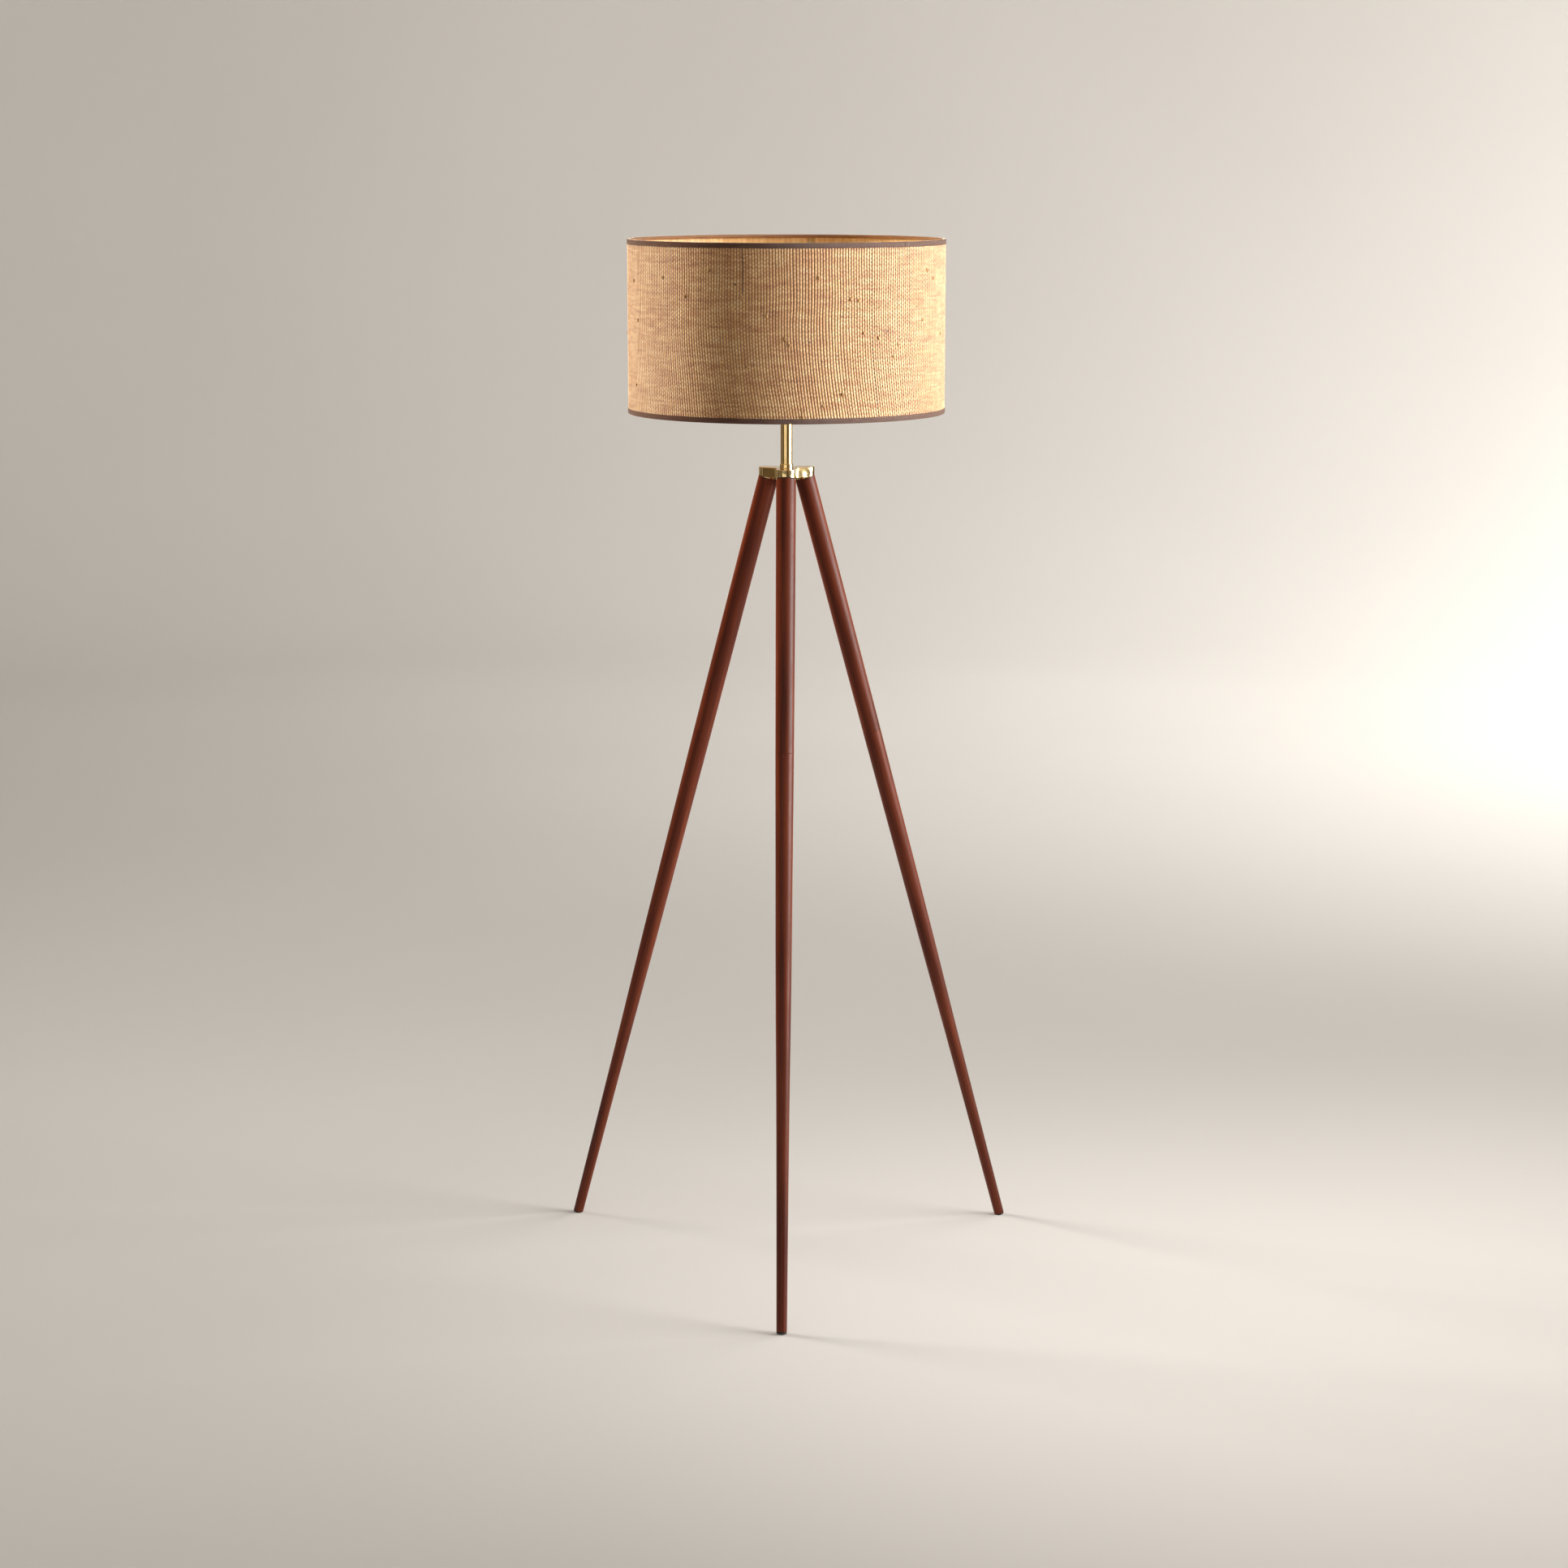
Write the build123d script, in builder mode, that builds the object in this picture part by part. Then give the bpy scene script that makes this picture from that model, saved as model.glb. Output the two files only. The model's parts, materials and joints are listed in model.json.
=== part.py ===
from build123d import *
from math import atan2, cos, radians, sin
import os

# Tripod floor lamp: a woven drum shade on a brass stem and hub, on three two-piece wooden legs.
# Millimetres, +Z up. The origin is on the floor, on the lamp's vertical axis, and the front leg
# points towards -Y.

os.makedirs("parts", exist_ok=True)

# ---------------------------------------------------------------- driving dimensions
lamp_height = 1510.0
shade_diameter = 457.4
shade_height = 248.0
foot_circle_radius = 380.0
hub_top_z = 1182.0

# fits between pieces of one body
fit_gap = 0.05
glue_gap = 0.02

# a quarter round's middle stands this share of its radius inside the square corner
quarter_round_inset = 1 - cos(radians(45))

# ---------------------------------------------------------------- hub
hub_leg_radius = 30.2
lobe_radius = 14.5
hub_plate_thickness = 14.0
hub_top_round = 0.8
hub_corner_radius = 6.0
hub_plate_z = hub_top_z - hub_plate_thickness
hub_lobe_blank_drop = 10.0
hub_inner_corner_reach = 21.0

# ---------------------------------------------------------------- legs
# each leg runs straight from the middle of its lobe's underside to the foot circle
leg_azimuths = {"front": -90.0, "right": 30.0, "left": 150.0}
splay = atan2(foot_circle_radius - hub_leg_radius, hub_plate_z)
leg_washer_thickness = 1.0
leg_washer_radius = 13.6
leg_top_radius = 14.4
leg_joint_s = 400.0
leg_joint_radius = 13.3
leg_upper_mid_radius = 13.95
leg_end_radius = 7.5
joint_chamfer = 0.35
leg_top_chamfer = 0.6
leg_end_chamfer = 0.8

stud_radius = 4.0
stud_in_hub = 11.0
stud_in_wood = 30.0
hole_relief = 1.0
insert_radius = 6.0
insert_length = 25.0
joint_stud_in_insert = 22.0
stud_chamfer = 0.6

pad_radius = 7.3
pad_thickness = 2.0
pad_trim = 1.4
pad_pin_radius = 1.6
pad_pin_length = 14.0
pad_round = 0.6

# the pad's inner edge would sink by pad_trim, and is cut flat on the floor
pad_bottom_z = pad_radius * sin(splay) - pad_trim
pad_bottom_s = (hub_plate_z - pad_bottom_z) / cos(splay)
leg_end_s = pad_bottom_s - pad_thickness
leg_lower_radii = {560.0: 12.3, 735.0: 11.2, 900.0: 9.45, 1060.0: 8.3}

# ---------------------------------------------------------------- stem
stem_radius = 8.75
stem_wall = 1.0
collar_radius = 10.0
collar_height = 5.5
collar_round = 1.1
stem_top_z = 1262.0
rod_radius = 5.0
rod_bore_radius = 3.5
rod_bottom_z = 1157.0
rod_top_z = 1274.0
rod_washer_radius = 9.5
rod_washer_thickness = 1.4
rod_nut_flats = 17.0
rod_nut_thickness = 5.0
bushing_flange_radius = 5.4
bushing_flange_thickness = 1.6
bushing_bore_radius = 2.8
bushing_length = 12.0

# ---------------------------------------------------------------- socket
cap_neck_radius = 9.5
cap_neck_height = 4.0
cap_floor_z = stem_top_z + 6.2
cap_radius = 20.4
cap_wall = 0.8
cap_rim_z = 1284.0
cap_shoulder = 2.0
cap_floor_thickness = 1.2
cap_inner_chamfer = 1.0
locknut_flats = 14.0
locknut_thickness = 3.0
set_screw_radius = 1.5
set_screw_z = stem_top_z + 2.2
set_screw_slot_width = 0.5
set_screw_slot_depth = 0.8

housing_radius = 19.5
housing_wall = 2.5
housing_chamfer = 1.2
housing_bottom_z = cap_floor_z + 0.2
fitter_z = 1303.0
barrel_radius = 17.5
barrel_bore_radius = 15.4
barrel_top_z = 1332.0
barrel_thread_depth = 0.5
barrel_thread_pitch = 2.5
barrel_thread_count = 6
barrel_round = 0.5

core_radius = 15.2
core_bottom_z = 1300.0
core_top_z = 1310.0
screw_shell_radius = 14.4
screw_shell_wall = 0.5
screw_shell_top_z = 1330.0
contact_width = 7.0
contact_length = 16.0
contact_thickness = 0.8
contact_rise = 1.4
terminal_radius = 2.6
terminal_length = 4.0
terminal_head_length = 1.6
terminal_offset = 10.0
terminal_shank_radius = 1.5
terminal_slot_width = 0.7

switch_z = 1291.0
switch_block_size = (11.0, 14.0, 16.0)
switch_block_x = -3.0
shaft_radius = 1.6
shaft_running_gap = 0.06
switch_block_start_x = -6.0
shaft_end_gap = 0.3
shaft_start_x = switch_block_start_x + shaft_end_gap
shaft_end_x = 36.0
rotor_radius = 5.0
rotor_x = 5.0
rotor_length = 4.0
knob_radius = 6.5
knob_start_x = 24.0
knob_length = 15.0
knob_flute_count = 16
knob_flute_radius = 0.7
knob_flute_length = 12.0
knob_round = 1.0

clamp_ring_radius = 25.0
clamp_ring_height = 6.0
clamp_ring_notches = 12
clamp_ring_notch_radius = 1.6

# ---------------------------------------------------------------- shade
shade_radius = shade_diameter / 2
tape_thickness = 0.5
fabric_thickness = 0.8
lining_thickness = 0.8
fabric_radius = shade_radius - tape_thickness
lining_radius = fabric_radius - fabric_thickness
lining_bore = lining_radius - lining_thickness
wire_radius = 1.5
ring_gap = 0.05
ring_radius = lining_bore - wire_radius - ring_gap
tape_drop_outside = 7.5
tape_drop_inside_top = 5.0
tape_drop_inside_bottom = 2.9
shade_top_z = lamp_height
shade_bottom_z = lamp_height - shade_height
fitter_thickness = 1.6
fitter_radius = 24.0
fitter_hole_radius = barrel_radius + 0.4
spoke_count = 3
spoke_start_azimuth = 90.0
weld_depth = 0.8

# ---------------------------------------------------------------- bulb
bulb_tip_gap = 0.4
bulb_tip_z = core_top_z + contact_rise + contact_thickness + bulb_tip_gap
bulb_tip_height = 1.2
bulb_tip_radius = 4.0
bulb_tip_round = 0.7
bulb_insulator_height = 3.0
bulb_insulator_tip_radius = 4.8
bulb_insulator_top_radius = 11.5
bulb_cap_radius = 13.0
bulb_cap_height = 20.0
bulb_cap_chamfer = 1.0
bulb_neck_radius = 12.2
bulb_shoulder_flare = 6.0
bulb_shoulder_height = 20.0
bulb_globe_radius = 30.0
bulb_length = 105.0


def leg_point(azimuth, s):
    """Return the point at distance s down the leg's axis from its lobe's underside."""
    reach = hub_leg_radius + s * sin(splay)
    drop = hub_plate_z - s * cos(splay)
    return Vector(reach * cos(radians(azimuth)), reach * sin(radians(azimuth)), drop)


def leg_plane(azimuth, s):
    """Return the plane square to the leg at distance s, its normal pointing down the leg."""
    outward = Vector(cos(splay) * cos(radians(azimuth)), cos(splay) * sin(radians(azimuth)), sin(splay))
    down_leg = Vector(sin(splay) * cos(radians(azimuth)), sin(splay) * sin(radians(azimuth)), -cos(splay))
    return Plane(origin=leg_point(azimuth, s), x_dir=outward, z_dir=down_leg)


def leg_profile_plane(azimuth):
    """Return the plane through the leg's axis: x is the radius and y the distance s."""
    square = leg_plane(azimuth, 0)
    return Plane(origin=square.origin, x_dir=square.x_dir, z_dir=square.x_dir.cross(square.z_dir))


def leg_axis(azimuth):
    square = leg_plane(azimuth, 0)
    return Axis(square.origin, square.z_dir)


def save(piece, name):
    piece.part.label = name
    export_step(piece.part, f"parts/{name}.step")


# ================================================================ hub
with BuildPart() as hub_body:
    with BuildSketch(Plane.XY.offset(hub_plate_z)) as hub_plan:
        with PolarLocations(hub_leg_radius / 2, 3, start_angle=-90):
            Rectangle(hub_leg_radius, 2 * lobe_radius)
        with PolarLocations(hub_leg_radius, 3, start_angle=-90):
            Circle(lobe_radius - glue_gap)
        corners = hub_plan.vertices().filter_by(lambda v: Vector(v.X, v.Y).length < hub_inner_corner_reach)
        fillet(corners, radius=hub_corner_radius)
    extrude(amount=hub_plate_thickness)
    with BuildSketch(Plane.XY.offset(hub_plate_z - hub_lobe_blank_drop)):
        with PolarLocations(hub_leg_radius, 3, start_angle=-90):
            Circle(lobe_radius)
    extrude(amount=hub_plate_thickness + hub_lobe_blank_drop)
    for azimuth in leg_azimuths.values():
        split(bisect_by=leg_plane(azimuth, 0), keep=Keep.BOTTOM)
    fillet(hub_body.edges().group_by(Axis.Z)[-1], radius=hub_top_round)
    with BuildSketch(Plane.XY.offset(hub_top_z)):
        Circle(rod_radius + fit_gap)
    extrude(amount=-2 * hub_plate_thickness, mode=Mode.SUBTRACT)
    for azimuth in leg_azimuths.values():
        with BuildSketch(leg_plane(azimuth, 0)):
            Circle(stud_radius + fit_gap)
        extrude(amount=-stud_in_hub - hole_relief, mode=Mode.SUBTRACT)
save(hub_body, "hub_body")

# ================================================================ legs
for side, azimuth in leg_azimuths.items():
    with BuildPart() as leg_washer:
        with BuildSketch(leg_plane(azimuth, 0)):
            Circle(leg_washer_radius)
            Circle(stud_radius + fit_gap, mode=Mode.SUBTRACT)
        extrude(amount=leg_washer_thickness)
    save(leg_washer, f"leg_washer_{side}")

    with BuildPart() as leg_upper:
        with BuildSketch(leg_profile_plane(azimuth)):
            with BuildLine():
                Polyline(
                    (0, leg_joint_s),
                    (0, leg_washer_thickness),
                    (leg_top_radius - leg_top_chamfer, leg_washer_thickness),
                    (leg_top_radius, leg_washer_thickness + leg_top_chamfer),
                )
                ThreePointArc(
                    (leg_top_radius, leg_washer_thickness + leg_top_chamfer),
                    (leg_upper_mid_radius, leg_joint_s / 2),
                    (leg_joint_radius, leg_joint_s - joint_chamfer),
                )
                Polyline(
                    (leg_joint_radius, leg_joint_s - joint_chamfer),
                    (leg_joint_radius - joint_chamfer, leg_joint_s),
                    (0, leg_joint_s),
                )
            make_face()
        revolve(axis=leg_axis(azimuth))
        with BuildSketch(leg_plane(azimuth, leg_washer_thickness)):
            Circle(stud_radius + fit_gap)
        extrude(amount=stud_in_wood + hole_relief, mode=Mode.SUBTRACT)
        with BuildSketch(leg_plane(azimuth, leg_joint_s)):
            Circle(stud_radius + fit_gap)
        extrude(amount=-stud_in_wood - hole_relief, mode=Mode.SUBTRACT)
    save(leg_upper, f"leg_upper_{side}")

    with BuildPart() as leg_lower:
        with BuildSketch(leg_profile_plane(azimuth)):
            with BuildLine():
                Polyline(
                    (0, leg_end_s),
                    (0, leg_joint_s),
                    (leg_joint_radius - joint_chamfer, leg_joint_s),
                    (leg_joint_radius, leg_joint_s + joint_chamfer),
                )
                Spline(
                    (leg_joint_radius, leg_joint_s + joint_chamfer),
                    *[(radius, s) for s, radius in leg_lower_radii.items()],
                    (leg_end_radius, leg_end_s - leg_end_chamfer),
                )
                Polyline(
                    (leg_end_radius, leg_end_s - leg_end_chamfer),
                    (leg_end_radius - leg_end_chamfer, leg_end_s),
                    (0, leg_end_s),
                )
            make_face()
        revolve(axis=leg_axis(azimuth))
        with BuildSketch(leg_plane(azimuth, leg_joint_s)):
            Circle(insert_radius + fit_gap)
        extrude(amount=insert_length + hole_relief, mode=Mode.SUBTRACT)
        with BuildSketch(leg_plane(azimuth, leg_end_s)):
            Circle(pad_pin_radius + fit_gap)
        extrude(amount=-pad_pin_length - hole_relief, mode=Mode.SUBTRACT)
    save(leg_lower, f"leg_lower_{side}")

    with BuildPart() as leg_top_stud:
        with BuildSketch(leg_plane(azimuth, -stud_in_hub)):
            Circle(stud_radius)
        extrude(amount=stud_in_hub + leg_washer_thickness + stud_in_wood)
        chamfer(leg_top_stud.edges().filter_by(GeomType.CIRCLE), length=stud_chamfer)
    save(leg_top_stud, f"leg_top_stud_{side}")

    with BuildPart() as leg_joint_stud:
        with BuildSketch(leg_plane(azimuth, leg_joint_s - stud_in_wood)):
            Circle(stud_radius)
        extrude(amount=stud_in_wood + joint_stud_in_insert)
        chamfer(leg_joint_stud.edges().filter_by(GeomType.CIRCLE), length=stud_chamfer)
    save(leg_joint_stud, f"leg_joint_stud_{side}")

    with BuildPart() as leg_insert:
        with BuildSketch(leg_plane(azimuth, leg_joint_s + joint_chamfer)):
            Circle(insert_radius)
            Circle(stud_radius + fit_gap, mode=Mode.SUBTRACT)
        extrude(amount=insert_length - joint_chamfer)
    save(leg_insert, f"leg_insert_{side}")

    with BuildPart() as foot_pad:
        with BuildSketch(leg_plane(azimuth, leg_end_s)):
            Circle(pad_radius)
        extrude(amount=pad_thickness)
        pad_sole = foot_pad.faces().filter_by(GeomType.PLANE).sort_by(Axis.Z)[0]
        fillet(pad_sole.edges(), radius=pad_round)
        with BuildSketch(leg_plane(azimuth, leg_end_s)):
            Circle(pad_pin_radius)
        extrude(amount=-pad_pin_length)
        split(bisect_by=Plane.XY, keep=Keep.TOP)
    save(foot_pad, f"foot_pad_{side}")

# ================================================================ stem
with BuildPart() as stem_tube:
    with BuildSketch(Plane.XY.offset(hub_top_z)):
        Circle(stem_radius)
        Circle(stem_radius - stem_wall, mode=Mode.SUBTRACT)
    extrude(amount=stem_top_z - hub_top_z)
save(stem_tube, "stem_tube")

with BuildPart() as stem_collar:
    with BuildSketch(Plane.XY.offset(hub_top_z)):
        Circle(collar_radius)
        Circle(stem_radius + fit_gap, mode=Mode.SUBTRACT)
    extrude(amount=collar_height)
    collar_top_edges = stem_collar.edges().group_by(Axis.Z)[-1]
    fillet(collar_top_edges.sort_by(SortBy.RADIUS)[-1], radius=collar_round)
save(stem_collar, "stem_collar")

with BuildPart() as stem_rod:
    with BuildSketch(Plane.XY.offset(rod_bottom_z)):
        Circle(rod_radius)
        Circle(rod_bore_radius, mode=Mode.SUBTRACT)
    extrude(amount=rod_top_z - rod_bottom_z)
save(stem_rod, "stem_rod")

with BuildPart() as rod_washer:
    with BuildSketch(Plane.XY.offset(hub_plate_z)):
        Circle(rod_washer_radius)
        Circle(rod_radius + fit_gap, mode=Mode.SUBTRACT)
    extrude(amount=-rod_washer_thickness)
save(rod_washer, "rod_washer")

with BuildPart() as rod_nut:
    with BuildSketch(Plane.XY.offset(hub_plate_z - rod_washer_thickness)):
        RegularPolygon(rod_nut_flats / 2, 6, major_radius=False)
        Circle(rod_radius + fit_gap, mode=Mode.SUBTRACT)
    extrude(amount=-rod_nut_thickness)
save(rod_nut, "rod_nut")

with BuildPart() as cord_bushing:
    with BuildSketch(Plane.XY.offset(rod_bottom_z)):
        Circle(bushing_flange_radius)
    extrude(amount=-bushing_flange_thickness)
    fillet(cord_bushing.edges().group_by(Axis.Z)[0], radius=bushing_flange_thickness / 2)
    with BuildSketch(Plane.XY.offset(rod_bottom_z)):
        Circle(rod_bore_radius - fit_gap)
    extrude(amount=bushing_length - bushing_flange_thickness)
    with BuildSketch(Plane.XY.offset(rod_bottom_z - bushing_flange_thickness)):
        Circle(bushing_bore_radius)
    extrude(amount=bushing_length, mode=Mode.SUBTRACT)
save(cord_bushing, "cord_bushing")

# ================================================================ socket
cap_base_z = cap_floor_z - cap_floor_thickness
cap_shoulder_inset = quarter_round_inset * cap_shoulder
with BuildPart() as socket_cap:
    with BuildSketch(Plane.XZ):
        with BuildLine():
            Polyline(
                (rod_radius + fit_gap, stem_top_z),
                (cap_neck_radius, stem_top_z),
                (cap_neck_radius, stem_top_z + cap_neck_height),
                (cap_radius - cap_shoulder, cap_base_z),
            )
            ThreePointArc(
                (cap_radius - cap_shoulder, cap_base_z),
                (cap_radius - cap_shoulder_inset, cap_base_z + cap_shoulder_inset),
                (cap_radius, cap_base_z + cap_shoulder),
            )
            Polyline(
                (cap_radius, cap_base_z + cap_shoulder),
                (cap_radius, cap_rim_z),
                (cap_radius - cap_wall, cap_rim_z),
                (cap_radius - cap_wall, cap_floor_z + cap_inner_chamfer),
                (cap_radius - cap_wall - cap_inner_chamfer, cap_floor_z),
                (rod_radius + fit_gap, cap_floor_z),
                (rod_radius + fit_gap, stem_top_z),
            )
        make_face()
    revolve(axis=Axis.Z)
    with BuildSketch(Plane.XZ):
        with Locations((0, set_screw_z)):
            Circle(set_screw_radius + fit_gap)
    extrude(amount=cap_neck_radius + hole_relief, mode=Mode.SUBTRACT)
save(socket_cap, "socket_cap")

with BuildPart() as socket_set_screw:
    with BuildSketch(Plane.XZ.offset(rod_radius + fit_gap)):
        with Locations((0, set_screw_z)):
            Circle(set_screw_radius)
    extrude(amount=cap_neck_radius - rod_radius - fit_gap)
    with BuildSketch(Plane.XZ.offset(cap_neck_radius)):
        with Locations((0, set_screw_z)):
            Rectangle(2 * set_screw_radius, set_screw_slot_width)
    extrude(amount=-set_screw_slot_depth, mode=Mode.SUBTRACT)
save(socket_set_screw, "socket_set_screw")

with BuildPart() as socket_locknut:
    with BuildSketch(Plane.XY.offset(cap_floor_z)):
        RegularPolygon(locknut_flats / 2, 6, major_radius=False)
        Circle(rod_radius + fit_gap, mode=Mode.SUBTRACT)
    extrude(amount=locknut_thickness)
save(socket_locknut, "socket_locknut")

with BuildPart() as socket_housing:
    with BuildSketch(Plane.XY.offset(housing_bottom_z)):
        Circle(housing_radius)
    extrude(amount=fitter_z - housing_bottom_z)
    with BuildSketch(Plane.XY.offset(fitter_z)):
        Circle(barrel_radius)
    extrude(amount=barrel_top_z - fitter_z)
    fillet(socket_housing.edges().group_by(Axis.Z)[-1], radius=barrel_round)
    chamfer(socket_housing.edges().group_by(Axis.Z)[0], length=housing_chamfer)
    with BuildSketch(Plane.XY.offset(housing_bottom_z)):
        Circle(housing_radius - housing_wall)
    extrude(amount=core_bottom_z - housing_bottom_z, mode=Mode.SUBTRACT)
    with BuildSketch(Plane.XY.offset(core_bottom_z)):
        Circle(barrel_bore_radius)
    extrude(amount=barrel_top_z - core_bottom_z, mode=Mode.SUBTRACT)
    for turn in range(barrel_thread_count):
        groove_z = barrel_top_z - barrel_thread_pitch * (turn + 1)
        with BuildSketch(Plane.XY.offset(groove_z)):
            Circle(barrel_radius + hole_relief)
            Circle(barrel_radius - barrel_thread_depth, mode=Mode.SUBTRACT)
        extrude(amount=barrel_thread_pitch / 2, mode=Mode.SUBTRACT)
    with BuildSketch(Plane.YZ):
        with Locations((0, switch_z)):
            Circle(shaft_radius + shaft_running_gap)
    extrude(amount=housing_radius + hole_relief, mode=Mode.SUBTRACT)
save(socket_housing, "socket_housing")

with BuildPart() as socket_core:
    with BuildSketch(Plane.XY.offset(core_bottom_z)):
        Circle(core_radius)
        with PolarLocations(terminal_offset, 2, start_angle=90):
            Circle(terminal_shank_radius + fit_gap, mode=Mode.SUBTRACT)
    extrude(amount=core_top_z - core_bottom_z)
save(socket_core, "socket_core")

with BuildPart() as socket_terminal_screws:
    with BuildSketch(Plane.XY.offset(core_bottom_z)):
        with PolarLocations(terminal_offset, 2, start_angle=90):
            Circle(terminal_shank_radius)
    extrude(amount=terminal_length)
    with BuildSketch(Plane.XY.offset(core_bottom_z)):
        with PolarLocations(terminal_offset, 2, start_angle=90):
            Circle(terminal_radius)
            Rectangle(terminal_slot_width, 2 * terminal_radius, mode=Mode.SUBTRACT)
    extrude(amount=-terminal_head_length)
    with BuildSketch(Plane.XY.offset(core_bottom_z)):
        with PolarLocations(terminal_offset, 2, start_angle=90):
            Circle(terminal_radius)
    extrude(amount=-terminal_head_length / 2)
save(socket_terminal_screws, "socket_terminal_screws")

with BuildPart() as socket_screw_shell:
    with BuildSketch(Plane.XY.offset(core_top_z)):
        Circle(screw_shell_radius)
        Circle(screw_shell_radius - screw_shell_wall, mode=Mode.SUBTRACT)
    extrude(amount=screw_shell_top_z - core_top_z)
save(socket_screw_shell, "socket_screw_shell")

with BuildPart() as socket_contact:
    with BuildSketch(Plane.XZ):
        with BuildLine():
            Polyline(
                (-contact_length / 2, core_top_z),
                (contact_length / 4, core_top_z),
                (contact_length / 4, core_top_z + contact_thickness),
                (0, core_top_z + contact_thickness + contact_rise),
                (-contact_length / 4, core_top_z + contact_thickness + contact_rise),
                (-contact_length / 2, core_top_z + contact_thickness),
                close=True,
            )
        make_face()
    extrude(amount=contact_width / 2, both=True)
save(socket_contact, "socket_contact")

with BuildPart() as switch_block:
    with BuildSketch(Plane.XY.offset(core_bottom_z)):
        with Locations((switch_block_x, 0)):
            Rectangle(switch_block_size[0], switch_block_size[1])
    extrude(amount=-switch_block_size[2])
    with BuildSketch(Plane.YZ.offset(switch_block_start_x)):
        with Locations((0, switch_z)):
            Circle(shaft_radius + shaft_running_gap)
    extrude(amount=2 * switch_block_size[0], mode=Mode.SUBTRACT)
save(switch_block, "switch_block")

with BuildPart() as switch_shaft:
    with BuildSketch(Plane.YZ.offset(shaft_start_x)):
        with Locations((0, switch_z)):
            Circle(shaft_radius)
    extrude(amount=shaft_end_x - shaft_start_x)
save(switch_shaft, "switch_shaft")

with BuildPart() as switch_rotor:
    with BuildSketch(Plane.YZ.offset(rotor_x)):
        with Locations((0, switch_z)):
            RegularPolygon(rotor_radius, 4)
            Circle(shaft_radius + glue_gap, mode=Mode.SUBTRACT)
    extrude(amount=rotor_length)
save(switch_rotor, "switch_rotor")

with BuildPart() as switch_knob:
    with BuildSketch(Plane.YZ.offset(knob_start_x)):
        with Locations((0, switch_z)):
            Circle(knob_radius)
    extrude(amount=knob_length)
    fillet(switch_knob.edges().group_by(Axis.X)[-1], radius=knob_round)
    with BuildSketch(Plane.YZ.offset(knob_start_x)):
        with Locations((0, switch_z)):
            with PolarLocations(knob_radius, knob_flute_count):
                Circle(knob_flute_radius)
    extrude(amount=knob_flute_length, mode=Mode.SUBTRACT)
    with BuildSketch(Plane.YZ.offset(knob_start_x)):
        with Locations((0, switch_z)):
            Circle(shaft_radius + glue_gap)
    extrude(amount=shaft_end_x - knob_start_x + shaft_end_gap, mode=Mode.SUBTRACT)
save(switch_knob, "switch_knob")

with BuildPart() as shade_clamp_ring:
    with BuildSketch(Plane.XY.offset(fitter_z + fitter_thickness)):
        Circle(clamp_ring_radius)
        Circle(barrel_radius + fit_gap, mode=Mode.SUBTRACT)
        with PolarLocations(clamp_ring_radius, clamp_ring_notches):
            Circle(clamp_ring_notch_radius, mode=Mode.SUBTRACT)
    extrude(amount=clamp_ring_height)
save(shade_clamp_ring, "shade_clamp_ring")

# ================================================================ shade
with BuildPart() as shade_lining:
    with BuildSketch(Plane.XY.offset(shade_bottom_z + tape_thickness)):
        Circle(lining_radius)
        Circle(lining_bore, mode=Mode.SUBTRACT)
    extrude(amount=shade_height - 2 * tape_thickness)
save(shade_lining, "shade_lining")

with BuildPart() as shade_fabric:
    with BuildSketch(Plane.XY.offset(shade_bottom_z + tape_thickness)):
        Circle(fabric_radius)
        Circle(lining_radius, mode=Mode.SUBTRACT)
    extrude(amount=shade_height - 2 * tape_thickness)
save(shade_fabric, "shade_fabric")

# the tape folds over the edge and the wire ring: long leg outside, short leg inside
tape_bore = ring_radius - wire_radius - ring_gap
rims = (
    ("shade_top", shade_top_z, -1, tape_drop_inside_top),
    ("shade_bottom", shade_bottom_z, 1, tape_drop_inside_bottom),
)
for name, rim_z, inward, tape_drop_inside in rims:
    with BuildPart() as shade_tape:
        with BuildSketch(Plane.XZ):
            with BuildLine():
                Polyline(
                    (shade_radius, rim_z),
                    (shade_radius, rim_z + inward * tape_drop_outside),
                    (fabric_radius, rim_z + inward * tape_drop_outside),
                    (fabric_radius, rim_z + inward * tape_thickness),
                    (tape_bore, rim_z + inward * tape_thickness),
                    (tape_bore, rim_z + inward * tape_drop_inside),
                    (tape_bore - tape_thickness, rim_z + inward * tape_drop_inside),
                    (tape_bore - tape_thickness, rim_z),
                    close=True,
                )
            make_face()
        revolve(axis=Axis.Z)
    save(shade_tape, f"{name}_tape")

    with BuildPart() as shade_ring:
        with BuildSketch(Plane.XZ):
            with Locations((ring_radius, rim_z + inward * (tape_thickness + wire_radius + ring_gap))):
                Circle(wire_radius)
        revolve(axis=Axis.Z)
    save(shade_ring, f"{name}_ring")

with BuildPart() as shade_fitter_ring:
    with BuildSketch(Plane.XY.offset(fitter_z)):
        Circle(fitter_radius)
        Circle(fitter_hole_radius, mode=Mode.SUBTRACT)
    extrude(amount=fitter_thickness)
save(shade_fitter_ring, "shade_fitter_ring")

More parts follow.
